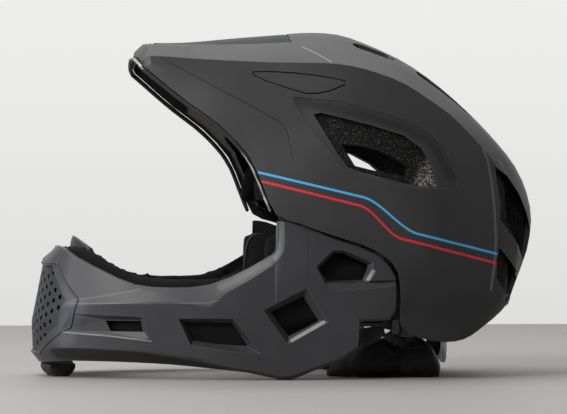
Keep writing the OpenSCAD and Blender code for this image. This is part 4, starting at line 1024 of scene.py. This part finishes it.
@dataclass
class ChinGuardParts(Assembly):
    """The lift-off chin guard with its grille, foam and cheek pads."""

    mouth_rim: Path = ((-25, 17.5), (-48, 34.5), (-52, 51), (-35, 73),
                       (35, 73), (52, 51), (48, 34.5), (25, 17.5))
    mouth_middle: float = 45.0
    mouth_half: float = 38.0
    mouth_axis: float = -0.0822
    mouth_radius: float = 0.0765
    mouth_steps: int = 24
    mouth_far: float = 0.13
    mouth_ray: float = 0.12
    border_out: float = 2.4
    border_lift: float = 0.0001
    ear_crease: float = -4.9
    crease_near: float = 1.6
    crease_heights: tuple[float, float] = (0.030, 0.092)
    rim_angle: float = 38.0
    rim_reach: tuple[float, ...] = (0.003, 0.012, 0.025, 0.045)
    rim_bevel: float = 1.1
    rim_steep: float = 0.3
    rim_down: float = -0.2

    def rim_edges(self, guard: Object, work: bmesh.types.BMesh) -> list[bmesh.types.BMEdge]:
        """The guard's upper outer edges, which have no wall beyond them.

        The photograph shows them as a bright bevel.
        """
        found, sharp = [], math.radians(self.rim_angle)
        for edge in work.edges:
            if len(edge.link_faces) != 2 or edge.calc_face_angle(0.0) < sharp:
                continue
            lip, wall = (f.normal for f in sorted(edge.link_faces, key=lambda f: abs(f.normal.y)))
            middle = (edge.verts[0].co + edge.verts[1].co) / 2
            side = 1.0 if middle.y > 0 else -1.0
            flat = Vector((lip.x, 0.0, lip.z))
            if wall.y * side < self.rim_steep or flat.length < self.rim_steep:
                continue
            flat.normalize()
            if flat.z < self.rim_down:
                continue
            hit = False
            for reach in self.rim_reach:
                start = Vector((middle.x, side * RAY, middle.z)) + flat * reach
                ray = Vector((0.0, -side, 0.0))
                struck, place, _, _ = guard.ray_cast(start, ray, distance=RAY)
                hit = hit or (struck and place.y * side > 0.0)
            if not hit:
                found.append(edge)
        return found

    def at_crease(self, place: Vector) -> bool:
        """Whether a place lies on the crease in front of the ear."""
        return abs(place.x * 1000 - self.ear_crease) < self.crease_near

    def shape_guard(self, guard: Object) -> None:
        """Ease the crease in front of the ear and bevel the upper rim."""
        work = bmesh.new()
        work.from_mesh(guard.data)
        low, high = self.crease_heights
        for edge in work.edges:
            corners = (v.co for v in edge.verts)
            if all(self.at_crease(c) and low < c.z < high for c in corners):
                edge.smooth = True
        rim = self.rim_edges(guard, work)
        LOG.info("guard rim: %d edges", len(rim))
        width = self.rim_bevel * MM
        bmesh.ops.bevel(
            work, geom=rim, offset=width, segments=2, affect="EDGES", clamp_overlap=True)
        work.to_mesh(guard.data)
        work.free()

    def mouth_ring(self, guard: Object) -> Mesh:
        """The grille's outline, a little wider, laid on the guard's front as edges alone."""
        middle = Vector((0.0, self.mouth_middle))
        grown = 1 + self.border_out / self.mouth_half
        corners = [middle + (Vector(c) - middle) * grown for c in self.mouth_rim]
        ring = []
        for a, b in zip(corners, corners[1:] + corners[:1]):
            for k in range(self.mouth_steps):
                y, z = (a + (b - a) * (k / self.mouth_steps)) * MM
                turn = math.asin(max(min(y / self.mouth_radius, 1.0), -1.0))
                out = Vector((-math.cos(turn), math.sin(turn), 0.0))
                start = Vector((self.mouth_axis, 0.0, z)) + out * self.mouth_far
                struck, place, _, _ = guard.ray_cast(start, -out, distance=self.mouth_ray)
                if struck:
                    ring.append(place + out * self.border_lift)
        return line_mesh("mouth_ring", [ring], closed=True)

    def build(self) -> None:
        """Dress the guard's pieces."""
        guard = self.dress("chin_guard", "guard_shell", Finish.GUARD, 12.0)
        ring = self.mouth_ring(guard)
        self.shape_guard(guard)
        self.line_inside(guard, Finish.INNER_WALL, GUARD_MIDDLE)
        bead = bead_tree("rim_bead", Finish.GUARD, 0.7 * MM)
        self.trim_with(bead, "grille_border", "chin_guard", ring)
        self.dress("mouth_grille", "breather_grille", Finish.GRILLE, 30.0)
        self.moulded("chin_foot", "foot_pad", Finish.RUBBER, 6)
        self.moulded("breath_shield", "nose_shield", Finish.SOFT, 14)
        self.pad("chin_foam", "guard_padding", 0.9, 0.5, 2.6)
        piping = bead_tree("cheek_piping", Finish.PIPING, 0.8 * MM)
        for side in SIDES:
            cheek = self.pad(f"cheek_pad_{side}", f"cheek_cloth_{side}", 0.8, 1.0, 2.6)
            low, high = bounds_of(cheek)
            seam = cut_lines(cheek, [((low + high) / 2 * 1000, (0, 1, 0))], 0.2 * MM)
            self.trim_with(piping, f"cheek_piping_{side}", f"cheek_pad_{side}", seam)
            self.dress(f"latch_tongue_{side}", f"tongue_{side}", Finish.DARK_METAL, 30.0)
            self.dress(f"guard_screws_{side}", f"guard_rivets_{side}", Finish.METAL, 30.0)


@dataclass
class LatchParts(Assembly):
    """The receivers and push buttons that hold the chin guard."""

    def build(self) -> None:
        """Dress both latches."""
        for side in SIDES:
            self.dress(f"latch_receiver_{side}", f"latch_block_{side}", Finish.SATIN, 30.0)
            self.dress(f"release_button_{side}", f"release_key_{side}", Finish.DARK_METAL, 30.0)


@dataclass
class FitParts(Assembly):
    """The nape dial with its racks, bands and cradle."""

    def build(self) -> None:
        """Dress the fit system."""
        self.dress("fit_housing", "dial_case", Finish.SATIN, 30.0)
        self.dress("fit_dial", "dial_knob", Finish.SATIN, 30.0)
        for side in SIDES:
            self.dress(f"rack_{side}", f"toothed_rack_{side}", Finish.SATIN, 25.0)
            self.dress(f"fit_band_{side}", f"head_band_{side}", Finish.SATIN, 40.0)
        self.dress("nape_cradle", "nape_plate", Finish.CLEAR, 30.0)
        self.dress("cradle_arm", "hanger_arm", Finish.SATIN, 30.0)
        self.pad("nape_pad", "nape_cloth", 0.6, 0.5)


@dataclass
class StrapParts(Assembly):
    """Chin straps with their dividers, rivets, padded sleeves and buckle."""

    wide: float = 15.0
    thick: float = 1.6
    seam_in: float = 1.7
    path_steps: int = 8
    head: Point = (42.0, 0.0, 113.0)
    half: Point = (94.0, 76.0, 88.0)
    turn_from: float = 56.0
    turn_over: float = 40.0
    stitches: LineTree = field(init=False)

    def upright(self, p: Vector) -> Vector:
        """The direction that a hanging strap's face looks in at a point."""
        a = (p.x - self.head[0]) / self.half[0]
        blend = min(max((p.z - self.turn_from) / self.turn_over, 0.0), 1.0)
        side = 1.0 if p.y > 0 else -1.0
        out = side * math.sqrt(max(1 - a * a, 0.01)) / self.half[1]
        return Vector((blend * a / self.half[0], out, 0)).normalized()

    def wall(self, x: float, z: float, inset: float = 1.8) -> Point:
        """A point on the cavity's wall, brought in by an inset, in millimetres."""
        a, c = (x - self.head[0]) / self.half[0], (z - self.head[2]) / self.half[2]
        b = math.sqrt(1 - a * a - c * c)
        out = Vector((a / self.half[0], b / self.half[1], c / self.half[2])).normalized()
        return tuple(Vector((x, self.half[1] * b, z)) - out * inset)

    def strap(
        self, name: str, node: str, points: Sequence[Point], facing: Facing, mirrored: bool
    ) -> None:
        """Weave one strap over its CAD node and sew a row of stitches along its edges.

        Args:
            name: Name of the piece.
            node: The CAD node that it stands for.
            points: Middle line on the right side, in millimetres.
            facing: Direction of the strap's face.
            mirrored: Whether it lies on the left side.
        """
        line = [Vector((p[0], -p[1] if mirrored else p[1], p[2])) for p in points]
        middle = smooth_path(line, self.path_steps)
        piece = new_piece(name, woven_ribbon(middle, facing, self.wide, self.thick), Finish.STRAP)
        settle(self.frame, piece, node)
        self.note(piece)
        rows: list[list[Vector]] = [[], [], [], []]
        for p, side, out in frames_along(middle, facing):
            for row, (u, v) in zip(rows, ((-1, -1), (1, -1), (-1, 1), (1, 1))):
                aside = side * (u * (self.wide / 2 - self.seam_in))
                row.append((p + aside + out * (v * self.thick / 2)) * MM)
        self.trim_with(self.stitches, f"{name}_stitches", node, line_mesh("rows", rows))

    def build(self) -> None:
        """Weave the straps and dress their fittings."""
        self.stitches = stitch_tree("strap_stitches", 0.0026, 0.0018, 0.00045)
        front = [self.wall(9, 120), self.wall(9, 110),
                 (16, 67.4, 96), (25, 65.6, 82), (36, 64.2, 64), (46, 63.4, 46)]
        rear = [self.wall(92, 118), self.wall(92, 108),
                (86, 62.6, 94), (79, 63.6, 80), (69.5, 64.2, 64), (60, 63.4, 46)]
        low = [(53, 63.4, 33.2), (54, 61.5, 28), (56, 58, 24.6)]
        for side, mirrored in zip(SIDES, (True, False)):
            out = Vector((0, -1 if mirrored else 1, 0))
            self.strap(f"front_strap_{side}", f"strap_front_{side}", front, self.upright, mirrored)
            self.strap(f"rear_strap_{side}", f"strap_rear_{side}", rear, self.upright, mirrored)
            self.strap(
                f"chin_strap_{side}", f"strap_low_{side}", low, lambda p, out=out: out, mirrored)
            self.dress(f"divider_{side}", f"strap_slider_{side}", Finish.SATIN)
            self.dress(f"anchors_{side}", f"strap_rivets_{side}", Finish.SATIN)
            self.pad(f"sleeve_{side}", f"strap_sleeve_{side}", 0.7, 1.2, 1.6, Finish.SLEEVE, 2.0)
        up = Vector((0, 0, 1))
        short = [(89, 36.4, 4), (89, 28, 3.4), (89, 20, 3), (89, 12.3, 3)]
        long = [(64.9, 0, 4.8), (58, 0.3, 3.6), (50, 3.5, 2),
                (43.5, 11, 1.2), (41, 20, 0.9), (41, 34.5, 0.9)]
        self.strap("buckle_strap_left", "strap_tail_left", short, lambda p: up, True)
        self.strap("buckle_strap_right", "strap_tail_right", long, lambda p: up, False)
        self.dress("buckle_socket", "buckle_case", Finish.SATIN)
        self.dress("buckle_plug", "buckle_prongs", Finish.SATIN)


# Studio
@dataclass(frozen=True)
class Lamp:
    """An area lamp aimed at the helmet, in metres and watts."""

    name: str
    place: Point
    size: tuple[float, float]
    watts: float
    colour: Point = (1.0, 1.0, 1.0)
    aim: Point = (0.0, 0.0, 0.12)

    def hang(self) -> None:
        """Add the lamp to the scene."""
        data = bpy.data.lights.new(self.name, "AREA")
        data.shape, data.size, data.size_y = "RECTANGLE", *self.size
        data.energy, data.color = self.watts, self.colour
        lamp = bpy.data.objects.new(self.name, data)
        lamp.location = self.place
        look = Vector(self.aim) - Vector(self.place)
        lamp.rotation_euler = look.to_track_quat("-Z", "Y").to_euler()
        bpy.context.scene.collection.objects.link(lamp)


@dataclass
class Studio:
    """Table, wall, lamps and the photograph's camera."""

    azimuth_deg: float = 5.5
    distance: float = 2.5
    height: float = 0.1113
    aim_x: float = 0.0009
    lens: float = 238.1
    sensor: float = 36.0
    sight: float = 50.0
    half_wide: float = 4.0
    table_ends: tuple[float, float] = (-3.2, 1.04)
    table_colour: Point = (0.36, 0.345, 0.335)
    table_rough: float = 0.58
    wall_y: float = 3.6
    wall_ends: tuple[float, float] = (-1.6, 4.4)
    wall_colour: Point = (0.86, 0.86, 0.855)
    sky_colour: Point = (0.86, 0.865, 0.87)
    sky_power: tuple[float, float] = (0.24, 0.72)
    sky_share: float = 0.25
    lamps: tuple[Lamp, ...] = (
        Lamp("over_lamp", (-0.75, 0.1, 1.5), (1.2, 0.8), 13.0, (1.0, 0.98, 0.95)),
        Lamp("front_lamp", (-2.0, -0.5, 0.5), (0.9, 0.9), 16.0, (0.96, 0.97, 1.0)),
        Lamp("near_lamp", (-1.6, -1.6, 1.6), (0.8, 0.8), 36.0),
        Lamp("wall_lamp", (0.3, 1.2, 2.0), (2.4, 0.6), 16.0),
    )

    def camera(self) -> None:
        """Set the camera at the photograph's place."""
        turn = math.radians(self.azimuth_deg)
        look = Vector((math.sin(turn), math.cos(turn), 0.0))
        data = bpy.data.cameras.new("camera")
        data.lens, data.sensor_width, data.sensor_fit = self.lens, self.sensor, "HORIZONTAL"
        data.clip_end = self.sight
        camera = bpy.data.objects.new("camera", data)
        camera.location = Vector((self.aim_x, 0.0, self.height)) - look * self.distance
        camera.rotation_euler = look.to_track_quat("-Z", "Y").to_euler()
        bpy.context.scene.collection.objects.link(camera)
        bpy.context.scene.camera = camera

    def slab(self, name: str, corners: list[Point], material: Material) -> None:
        """Add a flat stage piece with its corners in metres."""
        mesh = bpy.data.meshes.new(name)
        mesh.from_pydata(corners, [], [tuple(range(len(corners)))])
        piece = bpy.data.objects.new(name, mesh)
        mesh.materials.append(material)
        bpy.context.scene.collection.objects.link(piece)

    def table_paint(self) -> Material:
        """The table's colour with faint clouds."""
        sheet = NodeSheet("table_top")
        low, high = scaled(self.table_colour, 0.94), scaled(self.table_colour, 1.05)
        return sheet.finish(sheet.mix(sheet.noise(160.0, 3.0, 0.5), low, high), self.table_rough)

    def wall_glow(self) -> Material:
        """A wall that glows in its own colour for the camera and for mirrored and see-through
        rays, with painted shade towards the bottom, and is plain diffuse to other light.
        """
        sheet = NodeSheet("wall_glow")
        path = sheet.node("ShaderNodeLightPath", {})
        seen = Signal(sheet, path.outputs["Is Camera Ray"])
        for other in ("Is Glossy Ray", "Is Transmission Ray"):
            seen = seen.most(Signal(sheet, path.outputs[other]))
        # Painted shade: the glow darkens towards the bottom of the wall.
        rise = sheet.axes()[2].step(-430.0, 620.0)
        shade = sheet.mix(rise, scaled(self.wall_colour, 0.80), self.wall_colour)
        glow = sheet.node("ShaderNodeEmission", {}, {"Color": shade, "Strength": 1.0})
        plain = sheet.node("ShaderNodeBsdfDiffuse", {}, {"Color": (*self.wall_colour, 1.0)})
        ends = [seen, plain.outputs[0], glow.outputs[0]]
        mixed = sheet.node("ShaderNodeMixShader", {}, ends)
        sheet.node("ShaderNodeOutputMaterial", {}, [mixed.outputs[0]])
        return sheet.material

    def stage(self) -> None:
        """Add the table and the wall behind it."""
        (near, back), (low, high) = self.table_ends, self.wall_ends
        left, right = -self.half_wide, self.half_wide
        table = [(left, near, 0.0), (right, near, 0.0), (right, back, 0.0), (left, back, 0.0)]
        self.slab("table_top", table, self.table_paint())
        wall = [(x, self.wall_y, z) for x, z in
                ((left, low), (right, low), (right, high), (left, high))]
        self.slab("back_wall", wall, self.wall_glow())

    def sky(self) -> None:
        """Light from all around, weaker where it is mirrored or shines through."""
        scene = bpy.context.scene
        scene.world = bpy.data.worlds.new("daylight")
        scene.world.use_nodes = True
        tree = scene.world.node_tree
        glow = tree.nodes["Background"]
        glow.inputs[0].default_value = (*self.sky_colour, 1.0)

        def maths(operation: str, *values: Socket | float) -> Socket:
            """Add a Math node to the world."""
            return add_node(tree, "ShaderNodeMath", {"operation": operation}, values).outputs[0]

        path = add_node(tree, "ShaderNodeLightPath", {}).outputs
        seen = path["Is Camera Ray"]
        for other in ("Is Glossy Ray", "Is Transmission Ray"):
            seen = maths("MAXIMUM", seen, maths("MULTIPLY", path[other], self.sky_share))
        least, more = self.sky_power
        tree.links.new(maths("MULTIPLY_ADD", seen, more, least), glow.inputs[1])
        scene.view_settings.view_transform = "Standard"

    def build(self) -> None:
        """Build the whole studio."""
        self.camera()
        self.stage()
        self.sky()
        for lamp in self.lamps:
            lamp.hang()


def main() -> None:
    """Load the frame, then build the studio and every assembly in order."""
    logging.basicConfig(level=logging.INFO, format="%(message)s")
    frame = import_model()
    Studio().build()
    for kind in (ShellParts, LinerParts, ChinGuardParts, LatchParts, FitParts, StrapParts):
        part = kind(frame)
        part.build()
        LOG.info("%s: %d pieces", kind.__name__, len(part.pieces))


if __name__ == "__main__":
    main()
